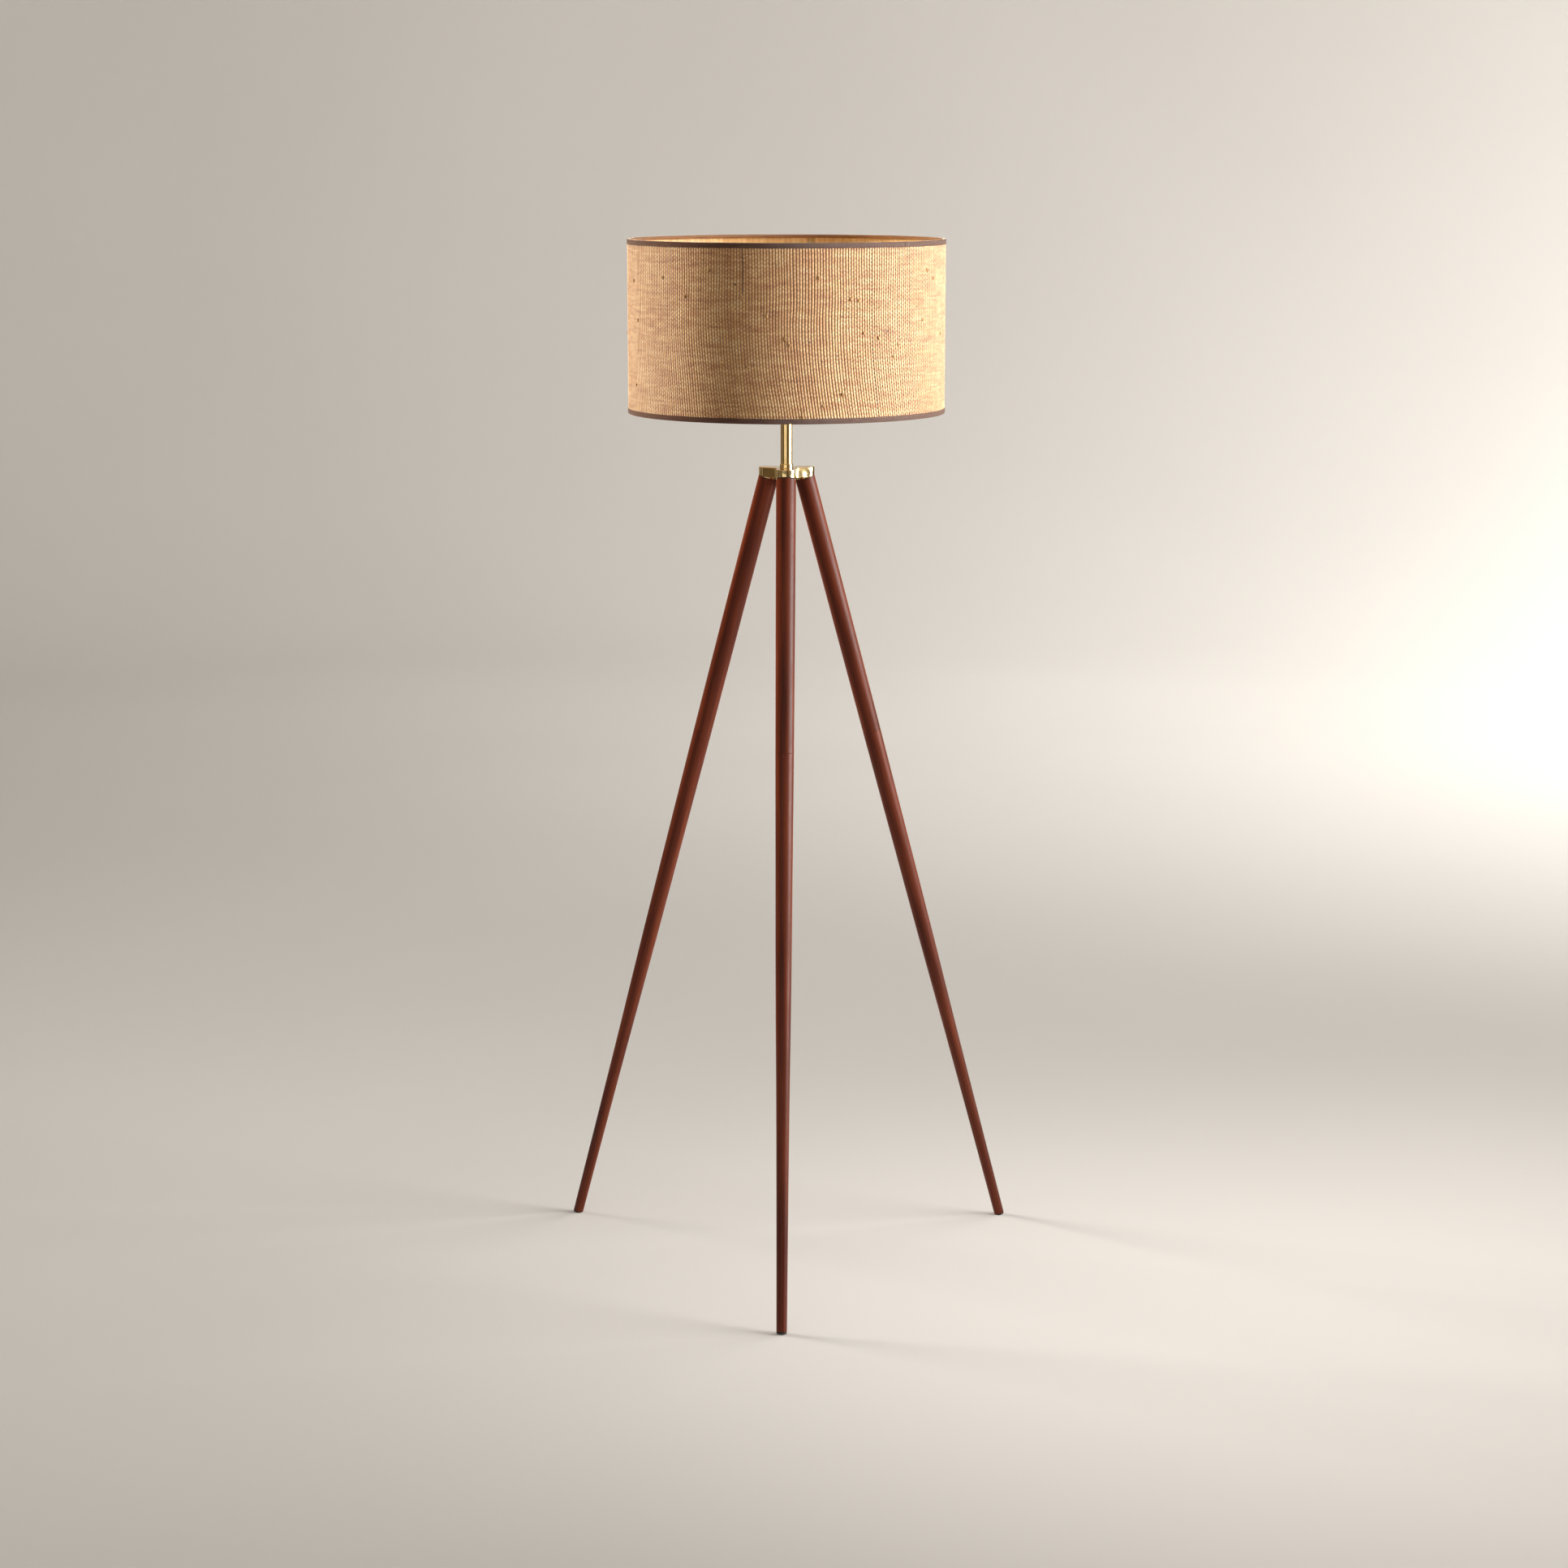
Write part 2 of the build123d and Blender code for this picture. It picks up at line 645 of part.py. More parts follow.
# each spoke lies on the bottom ring, clear of the tape, and rises to the fitter ring's edge
bottom_ring_top_z = shade_bottom_z + tape_thickness + ring_gap + 2 * wire_radius
spoke_outer = (ring_radius, bottom_ring_top_z + wire_radius - weld_depth / 2)
spoke_inner = (fitter_radius - weld_depth, fitter_z - wire_radius / 2)
with BuildPart() as shade_spokes:
    for index in range(spoke_count):
        spoke_azimuth = spoke_start_azimuth + index * 360 / spoke_count
        outer_end = Vector(spoke_outer[0], 0, spoke_outer[1]).rotate(Axis.Z, spoke_azimuth)
        inner_end = Vector(spoke_inner[0], 0, spoke_inner[1]).rotate(Axis.Z, spoke_azimuth)
        with BuildSketch(Plane(origin=outer_end, z_dir=inner_end - outer_end)):
            Circle(wire_radius)
        extrude(amount=(inner_end - outer_end).length)
save(shade_spokes, "shade_spokes")

# ================================================================ bulb
bulb_cap_z = bulb_tip_z + bulb_tip_height + bulb_insulator_height
bulb_glass_z = bulb_cap_z + bulb_cap_height
bulb_top_z = bulb_tip_z + bulb_length
globe_centre_z = bulb_top_z - bulb_globe_radius
globe_inset = quarter_round_inset * bulb_globe_radius

with BuildPart() as bulb_contact:
    with BuildSketch(Plane.XY.offset(bulb_tip_z)):
        Circle(bulb_tip_radius)
    extrude(amount=bulb_tip_height)
    fillet(bulb_contact.edges().group_by(Axis.Z)[0], radius=bulb_tip_round)
save(bulb_contact, "bulb_contact")

with BuildPart() as bulb_insulator:
    with BuildSketch(Plane.XY.offset(bulb_tip_z + bulb_tip_height)):
        Circle(bulb_insulator_tip_radius)
    with BuildSketch(Plane.XY.offset(bulb_cap_z)):
        Circle(bulb_insulator_top_radius)
    loft()
save(bulb_insulator, "bulb_insulator")

with BuildPart() as bulb_cap:
    with BuildSketch(Plane.XY.offset(bulb_cap_z)):
        Circle(bulb_cap_radius)
    extrude(amount=bulb_cap_height)
    chamfer(bulb_cap.edges().group_by(Axis.Z)[0], length=bulb_cap_chamfer)
save(bulb_cap, "bulb_cap")

# the glass stands on the cap: a short neck, a hollow shoulder and a round globe
with BuildPart() as bulb_glass:
    with BuildSketch(Plane.XZ):
        with BuildLine():
            Line((0, bulb_glass_z), (bulb_neck_radius, bulb_glass_z))
            shoulder = Spline(
                (bulb_neck_radius, bulb_glass_z),
                (bulb_neck_radius + bulb_shoulder_flare, bulb_glass_z + bulb_shoulder_height),
                (bulb_globe_radius, globe_centre_z),
                tangents=[(0, 1), (0, 1)],
            )
            ThreePointArc(
                shoulder @ 1,
                (bulb_globe_radius - globe_inset, bulb_top_z - globe_inset),
                (0, bulb_top_z),
            )
            Line((0, bulb_top_z), (0, bulb_glass_z))
        make_face()
    revolve(axis=Axis.Z)
save(bulb_glass, "bulb_glass")
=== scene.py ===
import json
from math import atan2, cos, floor, pi, radians, sin

import bmesh
import bpy
from mathutils import Matrix, Vector, noise


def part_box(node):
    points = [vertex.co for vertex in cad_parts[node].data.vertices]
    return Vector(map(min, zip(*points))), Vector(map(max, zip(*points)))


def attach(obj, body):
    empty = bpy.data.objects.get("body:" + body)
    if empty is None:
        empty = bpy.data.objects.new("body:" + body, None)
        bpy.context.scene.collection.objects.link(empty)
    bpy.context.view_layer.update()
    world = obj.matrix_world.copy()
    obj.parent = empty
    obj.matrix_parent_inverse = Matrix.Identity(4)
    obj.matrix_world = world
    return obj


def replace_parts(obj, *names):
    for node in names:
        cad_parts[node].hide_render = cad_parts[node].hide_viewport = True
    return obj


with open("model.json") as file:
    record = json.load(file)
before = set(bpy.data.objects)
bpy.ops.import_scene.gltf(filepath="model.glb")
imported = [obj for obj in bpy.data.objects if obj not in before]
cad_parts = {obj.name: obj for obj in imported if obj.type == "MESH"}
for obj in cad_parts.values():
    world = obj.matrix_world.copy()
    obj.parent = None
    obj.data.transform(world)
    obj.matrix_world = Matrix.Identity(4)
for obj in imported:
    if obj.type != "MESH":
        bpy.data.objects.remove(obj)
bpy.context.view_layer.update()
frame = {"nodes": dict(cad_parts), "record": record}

# Tripod floor lamp. Metres, +Z up, origin on the floor on the lamp's vertical axis, front leg
# towards -Y. The frame gives where each part is; this script gives the lamp its surfaces.

# ---------------------------------------------------------------- sizes taken from the frame
MM = 0.001
hub_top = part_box("hub_body")[1].z
stem_low, stem_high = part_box("stem_tube")
collar_low, collar_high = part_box("stem_collar")
fabric_low, fabric_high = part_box("shade_fabric")
fabric_radius = fabric_high.x
lining_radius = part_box("shade_lining")[1].x
tape_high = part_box("shade_top_tape")[1]
tape_radius = tape_high.y
shade_top = tape_high.z
shade_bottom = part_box("shade_bottom_tape")[0].z
bulb_cap_low, bulb_cap_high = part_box("bulb_cap")
bulb_glass_low, bulb_glass_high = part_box("bulb_glass")

# ---------------------------------------------------------------- the lamp's driving sizes
# each leg leaves the middle of its hub lobe's underside and runs straight to the foot circle
LEG_AZIMUTHS = {"front": -90.0, "right": 30.0, "left": 150.0}
hub_plate_thickness = 14.0 * MM
hub_leg_radius = 30.2 * MM
foot_circle_radius = 380.0 * MM
hub_plate_z = hub_top - hub_plate_thickness
splay = atan2(foot_circle_radius - hub_leg_radius, hub_plate_z)

leg_washer_thickness = 1.0 * MM
leg_top_radius = 14.4 * MM
leg_top_round = 0.6 * MM
leg_joint_distance = 400.0 * MM
leg_joint_radius = 13.3 * MM
leg_joint_chamfer = 0.35 * MM
leg_upper_middle_radius = 13.95 * MM
leg_lower_radii = ((560.0, 12.3), (735.0, 11.2), (900.0, 9.45), (1060.0, 8.3))
leg_end_radius = 7.5 * MM
leg_end_chamfer = 0.8 * MM
pad_radius = 7.3 * MM
pad_thickness = 2.0 * MM
pad_trim = 1.4 * MM
leg_segments = 64

stem_wall = 1.0 * MM
stem_segments = 96
collar_bore_gap = 0.05 * MM
collar_rounding = 1.1 * MM

# the woven skin: upright strands, thin wefts between them, and how far the strands wander
strand_count = 348
weft_pitch = 2.72 * MM
strand_relief = 0.34 * MM
columns_per_strand = 4
fabric_rows = 58
strand_lean, strand_lean_change = 9.0 * MM, 6.0 * MM
strand_wave, strand_ripple = 2.6 * MM, 0.8 * MM
strand_unevenness = 0.10 * MM
fabric_bond_gap = 0.03 * MM
fibre_half_width = 0.55
knot_radius = 1.30 * MM
knot_rise = 0.05 * MM

tape_thickness = 0.5 * MM
tape_inner_radius = 223.0 * MM
tape_round_over = 0.9 * MM
tape_drop_outside = 7.5 * MM
tape_drop_inside = {"top": 5.0 * MM, "bottom": 2.9 * MM}
tape_outside_rows = (7.2 * MM, 4.8 * MM, 2.6 * MM)
tape_segments = 480
tape_thread = 0.45 * MM
tape_lap_width = 9.0 * MM
tape_lap_swell = 0.30 * MM
# the tape's inside leg takes a warmer brown, painted for the light bounced off the lining, between
# these thread counts from the rim's outer edge
INNER_LEG_THREADS = (10.0, 13.0)

lining_thickness = 0.8 * MM
lining_overlap_width = 12.0 * MM
lining_overlap_thickness = 0.35 * MM
lining_overlap_margin = 6.0 * MM

bulb_neck_radius = 12.2 * MM
bulb_glass_wall = 0.6 * MM
screw_thread_depth = 0.9 * MM
screw_thread_pitch = 3.63 * MM
screw_thread_turns = 4
screw_steps_per_turn = 48


# ================================================================ mesh helpers
def new_piece(name, bm, material, body="lamp", smooth=True):
    """Turn a finished bmesh into a piece that rides on a CAD body."""
    mesh = bpy.data.meshes.new(name)
    bm.to_mesh(mesh)
    bm.free()
    mesh.materials.append(material)
    for face in mesh.polygons:
        face.use_smooth = smooth
    piece = bpy.data.objects.new(name, mesh)
    bpy.context.scene.collection.objects.link(piece)
    if body:
        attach(piece, body)
    return piece


def outline(bm, points, closed=False):
    """Draw a line of (radius, height) points in the XZ plane and return its vertices and edges."""
    verts = [bm.verts.new((radius, 0.0, height)) for radius, height in points]
    pairs = list(zip(verts, verts[1:]))
    if closed:
        pairs.append((verts[-1], verts[0]))
    return verts + [bm.edges.new(pair) for pair in pairs]


def turned(points, segments, closed=False):
    """Spin an outline once round Z into a closed skin."""
    bm = bmesh.new()
    drawn = outline(bm, points, closed)
    bmesh.ops.spin(bm, geom=drawn, cent=(0, 0, 0), axis=(0, 0, 1), angle=2 * pi, steps=segments,
                   use_merge=True, use_duplicate=False)
    bmesh.ops.remove_doubles(bm, verts=bm.verts, dist=1e-7)
    bmesh.ops.recalc_face_normals(bm, faces=bm.faces)
    return bm


def arc(centre, radius, start, end, steps):
    """Points on a round stretch of an outline, from angle start to angle end in degrees."""
    turns = [radians(start + (end - start) * step / steps) for step in range(steps + 1)]
    return [(centre[0] + radius * cos(a), centre[1] + radius * sin(a)) for a in turns]


def sharpen(piece, angle=40.0):
    """Keep real corners crisp on a smooth-shaded piece."""
    bm = bmesh.new()
    bm.from_mesh(piece.data)
    for edge in bm.edges:
        if len(edge.link_faces) == 2 and edge.calc_face_angle() > radians(angle):
            edge.smooth = False
    bm.to_mesh(piece.data)
    bm.free()


# ================================================================ shader helpers
def add(tree, kind, inputs=None, **settings):
    """Add a node: settings are its properties, inputs its socket values or links."""
    made = tree.nodes.new(kind)
    for key, value in settings.items():
        setattr(made, key, value)
    for socket, value in (inputs or {}).items():
        if isinstance(value, bpy.types.NodeSocket):
            tree.links.new(value, made.inputs[socket])
        else:
            made.inputs[socket].default_value = value
    return made


def calc(tree, operation, *values, clamp=False):
    inputs = dict(enumerate(values))
    return add(tree, "ShaderNodeMath", inputs, operation=operation, use_clamp=clamp).outputs[0]


def remap(tree, value, low, high, to_low=0.0, to_high=1.0, smooth=False):
    inputs = {"Value": value, "From Min": low, "From Max": high, "To Min": to_low, "To Max": to_high}
    kind = "SMOOTHSTEP" if smooth else "LINEAR"
    return add(tree, "ShaderNodeMapRange", inputs, interpolation_type=kind).outputs["Result"]


def weighted(tree, *pairs):
    """The sum of each value times its share."""
    total = 0.0
    for value, share in pairs:
        total = calc(tree, "MULTIPLY_ADD", value, share, total)
    return total


def blend_colour(tree, factor, first, second):
    return add(tree, "ShaderNodeMix", {0: factor, 6: first, 7: second}, data_type="RGBA").outputs[2]


def ramp(tree, factor, stops):
    made = add(tree, "ShaderNodeValToRGB", {"Fac": factor})
    elements = made.color_ramp.elements
    while len(elements) < len(stops):
        elements.new(0.5)
    for element, (position, colour) in zip(elements, stops):
        element.position = position
        element.color = (*colour, 1.0)
    return made.outputs["Color"]


def noise_of(tree, vector, scale, detail=3.0, roughness=0.5, distortion=0.0):
    inputs = {"Vector": vector, "Scale": scale, "Detail": detail, "Roughness": roughness,
              "Distortion": distortion}
    return add(tree, "ShaderNodeTexNoise", inputs).outputs["Fac"]


def stretched(tree, vector, scale, offset=(0, 0, 0)):
    inputs = {"Vector": vector, "Scale": scale, "Location": offset}
    return add(tree, "ShaderNodeMapping", inputs).outputs[0]


def object_coordinates(tree):
    return add(tree, "ShaderNodeTexCoord").outputs["Object"]


def named_vector(tree, name):
    return add(tree, "ShaderNodeAttribute", attribute_name=name).outputs["Vector"]


def named_value(tree, name):
    return add(tree, "ShaderNodeAttribute", attribute_name=name).outputs["Fac"]


def bump(tree, height, strength, distance):
    inputs = {"Height": height, "Strength": strength, "Distance": distance}
    return add(tree, "ShaderNodeBump", inputs).outputs["Normal"]


def new_group(name, inputs, outputs):
    """Start a shared node group and return its tree with its input and output nodes."""
    tree = bpy.data.node_groups.new(name, "ShaderNodeTree")
    for socket, kind in inputs:
        tree.interface.new_socket(socket, in_out="INPUT", socket_type=kind)
    for socket, kind in outputs:
        tree.interface.new_socket(socket, in_out="OUTPUT", socket_type=kind)
    return tree, tree.nodes.new("NodeGroupInput").outputs, tree.nodes.new("NodeGroupOutput").inputs


def use_group(tree, group, inputs):
    return add(tree, "ShaderNodeGroup", inputs, node_tree=group).outputs


def new_material(name, **shader):
    """Start a material: its tree and its Principled shader, with constants set on the sockets."""
    material = bpy.data.materials.new(name)
    material.use_nodes = True
    tree = material.node_tree
    principled = tree.nodes["Principled BSDF"]
    for socket, value in shader.items():
        principled.inputs[socket.replace("_", " ")].default_value = value
    return material, tree, principled


def feed(tree, principled, **sources):
    for socket, source in sources.items():
        tree.links.new(source, principled.inputs[socket.replace("_", " ")])


VECTOR, FLOAT = "NodeSocketVector", "NodeSocketFloat"


# ================================================================ shared effects
def make_handling_marks():
    """Faint cloudy smudges and fine wiping lines on a polished or lacquered surface."""
    tree, given, out = new_group(
        "handling_marks",
        [("Vector", VECTOR), ("Size", FLOAT)],
        [("Smudge", FLOAT), ("Scratch", FLOAT)],
    )
    coords = given["Vector"]
    clouds = noise_of(tree, coords, given["Size"], 4.0, 0.6, 0.4)
    tree.links.new(remap(tree, clouds, 0.38, 0.72, smooth=True), out["Smudge"])
    fine = noise_of(tree, stretched(tree, coords, (1400, 1400, 90)), 1.0, 2.0, 0.6)
    tree.links.new(remap(tree, fine, 0.55, 0.8), out["Scratch"])
    return tree


def make_dust_and_grain():
    """Moulding grain with a little settled dust: tone, fine height and dust mask."""
    tree, given, out = new_group(
        "dust_and_grain",
        [("Vector", VECTOR), ("Grain", FLOAT)],
        [("Tone", FLOAT), ("Height", FLOAT), ("Dust", FLOAT)],
    )
    coords = given["Vector"]
    tree.links.new(noise_of(tree, coords, 120.0, 4.0, 0.55), out["Tone"])
    tree.links.new(noise_of(tree, coords, given["Grain"], 2.0, 0.6), out["Height"])
    specks = noise_of(tree, coords, 900.0, 3.0, 0.7)
    upward = add(tree, "ShaderNodeSeparateXYZ",
                 {0: add(tree, "ShaderNodeNewGeometry").outputs["Normal"]}).outputs["Z"]
    lying = remap(tree, upward, 0.3, 1.0, smooth=True)
    tree.links.new(calc(tree, "MULTIPLY", lying, remap(tree, specks, 0.5, 0.75)), out["Dust"])
    return tree


def make_plain_weave():
    """Plain weave on a strand and weft count: where gaps, holes, bridging wefts and crowns are."""
    tree, given, out = new_group(
        "plain_weave",
        [("Count", VECTOR), ("Gap", FLOAT)],
        [("Height", FLOAT), ("Line", FLOAT), ("Hole", FLOAT), ("Crown", FLOAT), ("Strand", FLOAT),
         ("Weft", FLOAT)],
    )
    parts = add(tree, "ShaderNodeSeparateXYZ", {0: given["Count"]}).outputs
    across, along = parts["X"], parts["Y"]
    strand = calc(tree, "FLOOR", across)
    shifted = calc(tree, "ADD", across, 0.5)
    gap_number = calc(tree, "FLOOR", shifted)
    from_gap = calc(tree, "ABSOLUTE", calc(tree, "SUBTRACT", calc(tree, "FRACT", shifted), 0.5))
    line = remap(tree, from_gap, given["Gap"], 0.0, smooth=True)
    beat = calc(tree, "COSINE", calc(tree, "MULTIPLY", calc(tree, "ADD", along, gap_number), pi))
    opening = remap(tree, beat, -0.35, 0.9, smooth=True)
    hole = calc(tree, "MULTIPLY", line, opening)
    over = calc(tree, "COSINE", calc(tree, "MULTIPLY", calc(tree, "ADD", along, strand), pi))
    middle = remap(tree, from_gap, 0.12, 0.5, smooth=True)
    crown = calc(tree, "MULTIPLY", middle, remap(tree, over, 0.2, 1.0, smooth=True))
    body = remap(tree, from_gap, 0.0, 0.34, smooth=True)
    height = weighted(tree, (body, 1.0), (hole, -0.6), (crown, 0.35))
    for socket, source in (("Height", height), ("Line", line), ("Hole", hole), ("Crown", crown),
                           ("Strand", strand), ("Weft", calc(tree, "FLOOR", along))):
        tree.links.new(source, out[socket])
    return tree


def make_wood_figure():
    """Straight-grained hardwood along the third coordinate: tone, pores and fine height."""
    tree, given, out = new_group(
        "wood_figure",
        [("Vector", VECTOR)],
        [("Tone", FLOAT), ("Pores", FLOAT), ("Height", FLOAT)],
    )
    coords = given["Vector"]
    wander = noise_of(tree, stretched(tree, coords, (30, 30, 4)), 1.0, 3.0, 0.5)
    parts = add(tree, "ShaderNodeSeparateXYZ", {0: coords}).outputs
    ring_place = weighted(tree, (parts["X"], 1500.0), (wander, 9.0))
    rings = calc(tree, "MULTIPLY_ADD", calc(tree, "SINE", ring_place), 0.5, 0.5)
    streaks = noise_of(tree, stretched(tree, coords, (300, 300, 7)), 1.0, 5.0, 0.6)
    broad = noise_of(tree, stretched(tree, coords, (70, 70, 5)), 1.0, 3.0, 0.5)
    pores = noise_of(tree, stretched(tree, coords, (1700, 1700, 60)), 1.0, 2.0, 0.5)
    pore_mask = remap(tree, pores, 0.66, 0.76)
    tree.links.new(weighted(tree, (rings, 0.05), (streaks, 0.35), (broad, 0.60)), out["Tone"])
    tree.links.new(pore_mask, out["Pores"])
    tree.links.new(weighted(tree, (streaks, 1.0), (pore_mask, -0.8)), out["Height"])
    return tree


handling_marks = make_handling_marks()
dust_and_grain = make_dust_and_grain()
plain_weave = make_plain_weave()
wood_figure = make_wood_figure()


# ================================================================ materials
def polished_metal(name, colour, shade, rough_low, rough_high, mark_size=28.0, wave=0.0):
    """A bright metal with faint smudges: shade is its deeper colour, wave its polished-in ripple."""
    material, tree, principled = new_material(name, Metallic=1.0)
    coords = object_coordinates(tree)
    marks = use_group(tree, handling_marks, {"Vector": coords, "Size": mark_size})
    scratch = marks["Scratch"]
    rise = weighted(tree, (scratch, 0.003 * MM), (noise_of(tree, coords, 58.0, 1.0, 0.4), wave))
    smudged = remap(tree, marks["Smudge"], 0, 1, rough_low, rough_high)
    feed(tree, principled,
         Base_Color=blend_colour(tree, marks["Smudge"], (*colour, 1), (*shade, 1)),
         Roughness=calc(tree, "MULTIPLY_ADD", scratch, 0.03, smudged),
         Normal=bump(tree, rise, 1.0, 1.0))
    return material


def moulded(name, colour, dusty, rough, grain, depth=0.04 * MM):
    """A moulded, pressed or fired material with fine grain and settled dust."""
    material, tree, principled = new_material(name)
    coords = object_coordinates(tree)
    faces = use_group(tree, dust_and_grain, {"Vector": coords, "Grain": grain})
    lighter = tuple(min(1.0, c * 1.35 + 0.004) for c in colour)
    toned = blend_colour(tree, remap(tree, faces["Tone"], 0.3, 0.7), (*colour, 1), (*lighter, 1))
    dusted = calc(tree, "MULTIPLY", faces["Dust"], 0.35)
    worn = remap(tree, faces["Tone"], 0.3, 0.7, rough - 0.05, rough + 0.06)
    feed(tree, principled,
         Base_Color=blend_colour(tree, dusted, toned, (*dusty, 1)),
         Roughness=calc(tree, "ADD", worn, dusted, clamp=True),
         Normal=bump(tree, faces["Height"], 0.5, depth))
    return material


def lacquered_wood(name):
    """Dark red-brown stain in the grain under a thin satin lacquer."""
    material, tree, principled = new_material(
        name, Coat_Roughness=0.27, Coat_IOR=1.4, IOR=1.45, Specular_IOR_Level=0.22)
    figure = use_group(tree, wood_figure, {"Vector": named_vector(tree, "leg_grain")})
    stain = ramp(tree, figure["Tone"], [
        (0.30, (0.040, 0.0062, 0.0020)),
        (0.46, (0.086, 0.0140, 0.0042)),
        (0.58, (0.125, 0.0225, 0.0066)),
        (0.78, (0.180, 0.0400, 0.0120)),
    ])
    pores = calc(tree, "MULTIPLY", figure["Pores"], 0.55)
    marks = use_group(tree, handling_marks, {"Vector": object_coordinates(tree), "Size": 16.0})
    feed(tree, principled,
         Base_Color=blend_colour(tree, pores, stain, (0.018, 0.003, 0.002, 1)),
         Roughness=remap(tree, marks["Smudge"], 0, 1, 0.44, 0.54),
         Coat_Weight=remap(tree, marks["Smudge"], 0, 1, 0.07, 0.03),
         Normal=bump(tree, figure["Height"], 0.22, 0.06 * MM))
    return material


def woven_raffia(name):
    """Golden flat strands woven with thin wefts, with slubs, darker fibres and uneven bands, painted
    shade in the gaps and holes between strands and painted highlights on their crowns.
    """
    material, tree, principled = new_material(
        name, IOR=1.42, Specular_IOR_Level=0.9,
        Sheen_Weight=0.95, Sheen_Roughness=0.42, Sheen_Tint=(1.0, 0.96, 0.88, 1))
    count = add(tree, "ShaderNodeUVMap", uv_map="weave_count").outputs["UV"]
    weave = use_group(tree, plain_weave, {"Count": count, "Gap": 0.30})
    parts = add(tree, "ShaderNodeSeparateXYZ", {0: count}).outputs
    per_strand = add(tree, "ShaderNodeTexWhiteNoise", {"W": weave["Strand"]}, noise_dimensions="1D")
    per_strand = per_strand.outputs["Value"]
    cell = add(tree, "ShaderNodeCombineXYZ", {"X": weave["Strand"], "Y": parts["Y"]}).outputs[0]
    lengths = noise_of(tree, stretched(tree, cell, (3.1, 0.16, 1)), 1.0, 3.0, 0.6)
    fibres = noise_of(tree, stretched(tree, count, (8.0, 0.45, 1)), 1.0, 3.0, 0.65)
    bands = noise_of(tree, stretched(tree, count, (0.050, 0.30, 1)), 1.0, 4.0, 0.65, 0.3)
    row = add(tree, "ShaderNodeCombineXYZ", {"X": parts["X"], "Y": weave["Weft"]}).outputs[0]
    wefts = noise_of(tree, stretched(tree, row, (0.13, 0.83, 1), (13, 5, 0)), 1.0, 2.0, 0.65)
    patches = noise_of(tree, stretched(tree, count, (0.045, 0.07, 1)), 1.0, 3.0, 0.55)
    tone = weighted(tree, (per_strand, 0.05), (lengths, 0.12), (fibres, 0.22), (patches, 0.10),
                    (bands, 0.30), (wefts, 0.36))
    strand_colour = ramp(tree, tone, [
        (0.42, (0.300, 0.100, 0.024)),
        (0.52, (0.500, 0.215, 0.062)),
        (0.62, (0.670, 0.375, 0.135)),
        (0.74, (0.820, 0.590, 0.290)),
    ])
    # painted highlight: the crowns of the strands, where they pass over a weft, are lightened to a pale
    # gold
    crown_highlights = calc(tree, "MULTIPLY", weave["Crown"], remap(tree, wefts, 0.44, 0.62, 0.15, 0.95))
    crown_highlighted = blend_colour(tree, crown_highlights, strand_colour, (0.94, 0.79, 0.50, 1))
    # painted shade: the lines between strands are darkened, and the holes where they cross the wefts
    # darker still
    line = calc(tree, "MULTIPLY", weave["Line"], remap(tree, patches, 0.35, 0.65, 0.60, 1.00))
    shadowed = blend_colour(tree, line, crown_highlighted, (0.30, 0.125, 0.042, 1))
    hole = calc(tree, "MULTIPLY", weave["Hole"], remap(tree, bands, 0.3, 0.7, 1.00, 0.80))
    hole_shadowed = blend_colour(tree, hole, shadowed, (0.150, 0.052, 0.015, 1))
    flecks = noise_of(tree, stretched(tree, count, (0.55, 0.42, 1), (41, 7, 0)), 1.0, 2.0, 0.5)
    fleck_mask = remap(tree, flecks, 0.70, 0.75, 0.0, 0.80)
    along_gap = calc(tree, "MULTIPLY", remap(tree, weave["Hole"], 0.0, 0.20), 1.6, clamp=True)
    dots = remap(tree, named_value(tree, "dotted_fibre"), 0.1, 0.6)
    dotted = calc(tree, "MULTIPLY", dots, along_gap)
    solid = remap(tree, named_value(tree, "solid_fibre"), 0.25, 0.85, 0.0, 0.75)
    stray = calc(tree, "MAXIMUM", fleck_mask, calc(tree, "MAXIMUM", dotted, solid))
    height = weighted(tree, (weave["Height"], 1.0), (fibres, 0.35))
    feed(tree, principled,
         Base_Color=blend_colour(tree, stray, hole_shadowed, (0.050, 0.019, 0.008, 1)),
         Roughness=remap(tree, fibres, 0.3, 0.7, 0.46, 0.64),
         Normal=bump(tree, height, 1.0, 0.55 * MM))
    return material


def knotted_raffia(name):
    """The same strand, bunched up, with painted shadow and lighter painted crests mottled over it by
    noise.
    """
    material, tree, principled = new_material(name, Roughness=0.7)
    streak = noise_of(tree, stretched(tree, object_coordinates(tree), (600, 600, 120)), 1.0, 3.0)
    # painted light and shade on the knots: dark brown for their shadows, light orange-brown for their
    # lit crests
    painted_crest_and_shadow = [(0.40, (0.180, 0.070, 0.022)), (0.62, (0.640, 0.390, 0.155))]
    feed(tree, principled,
         Base_Color=ramp(tree, streak, painted_crest_and_shadow),
         Normal=bump(tree, streak, 0.6, 0.2 * MM))
    return material


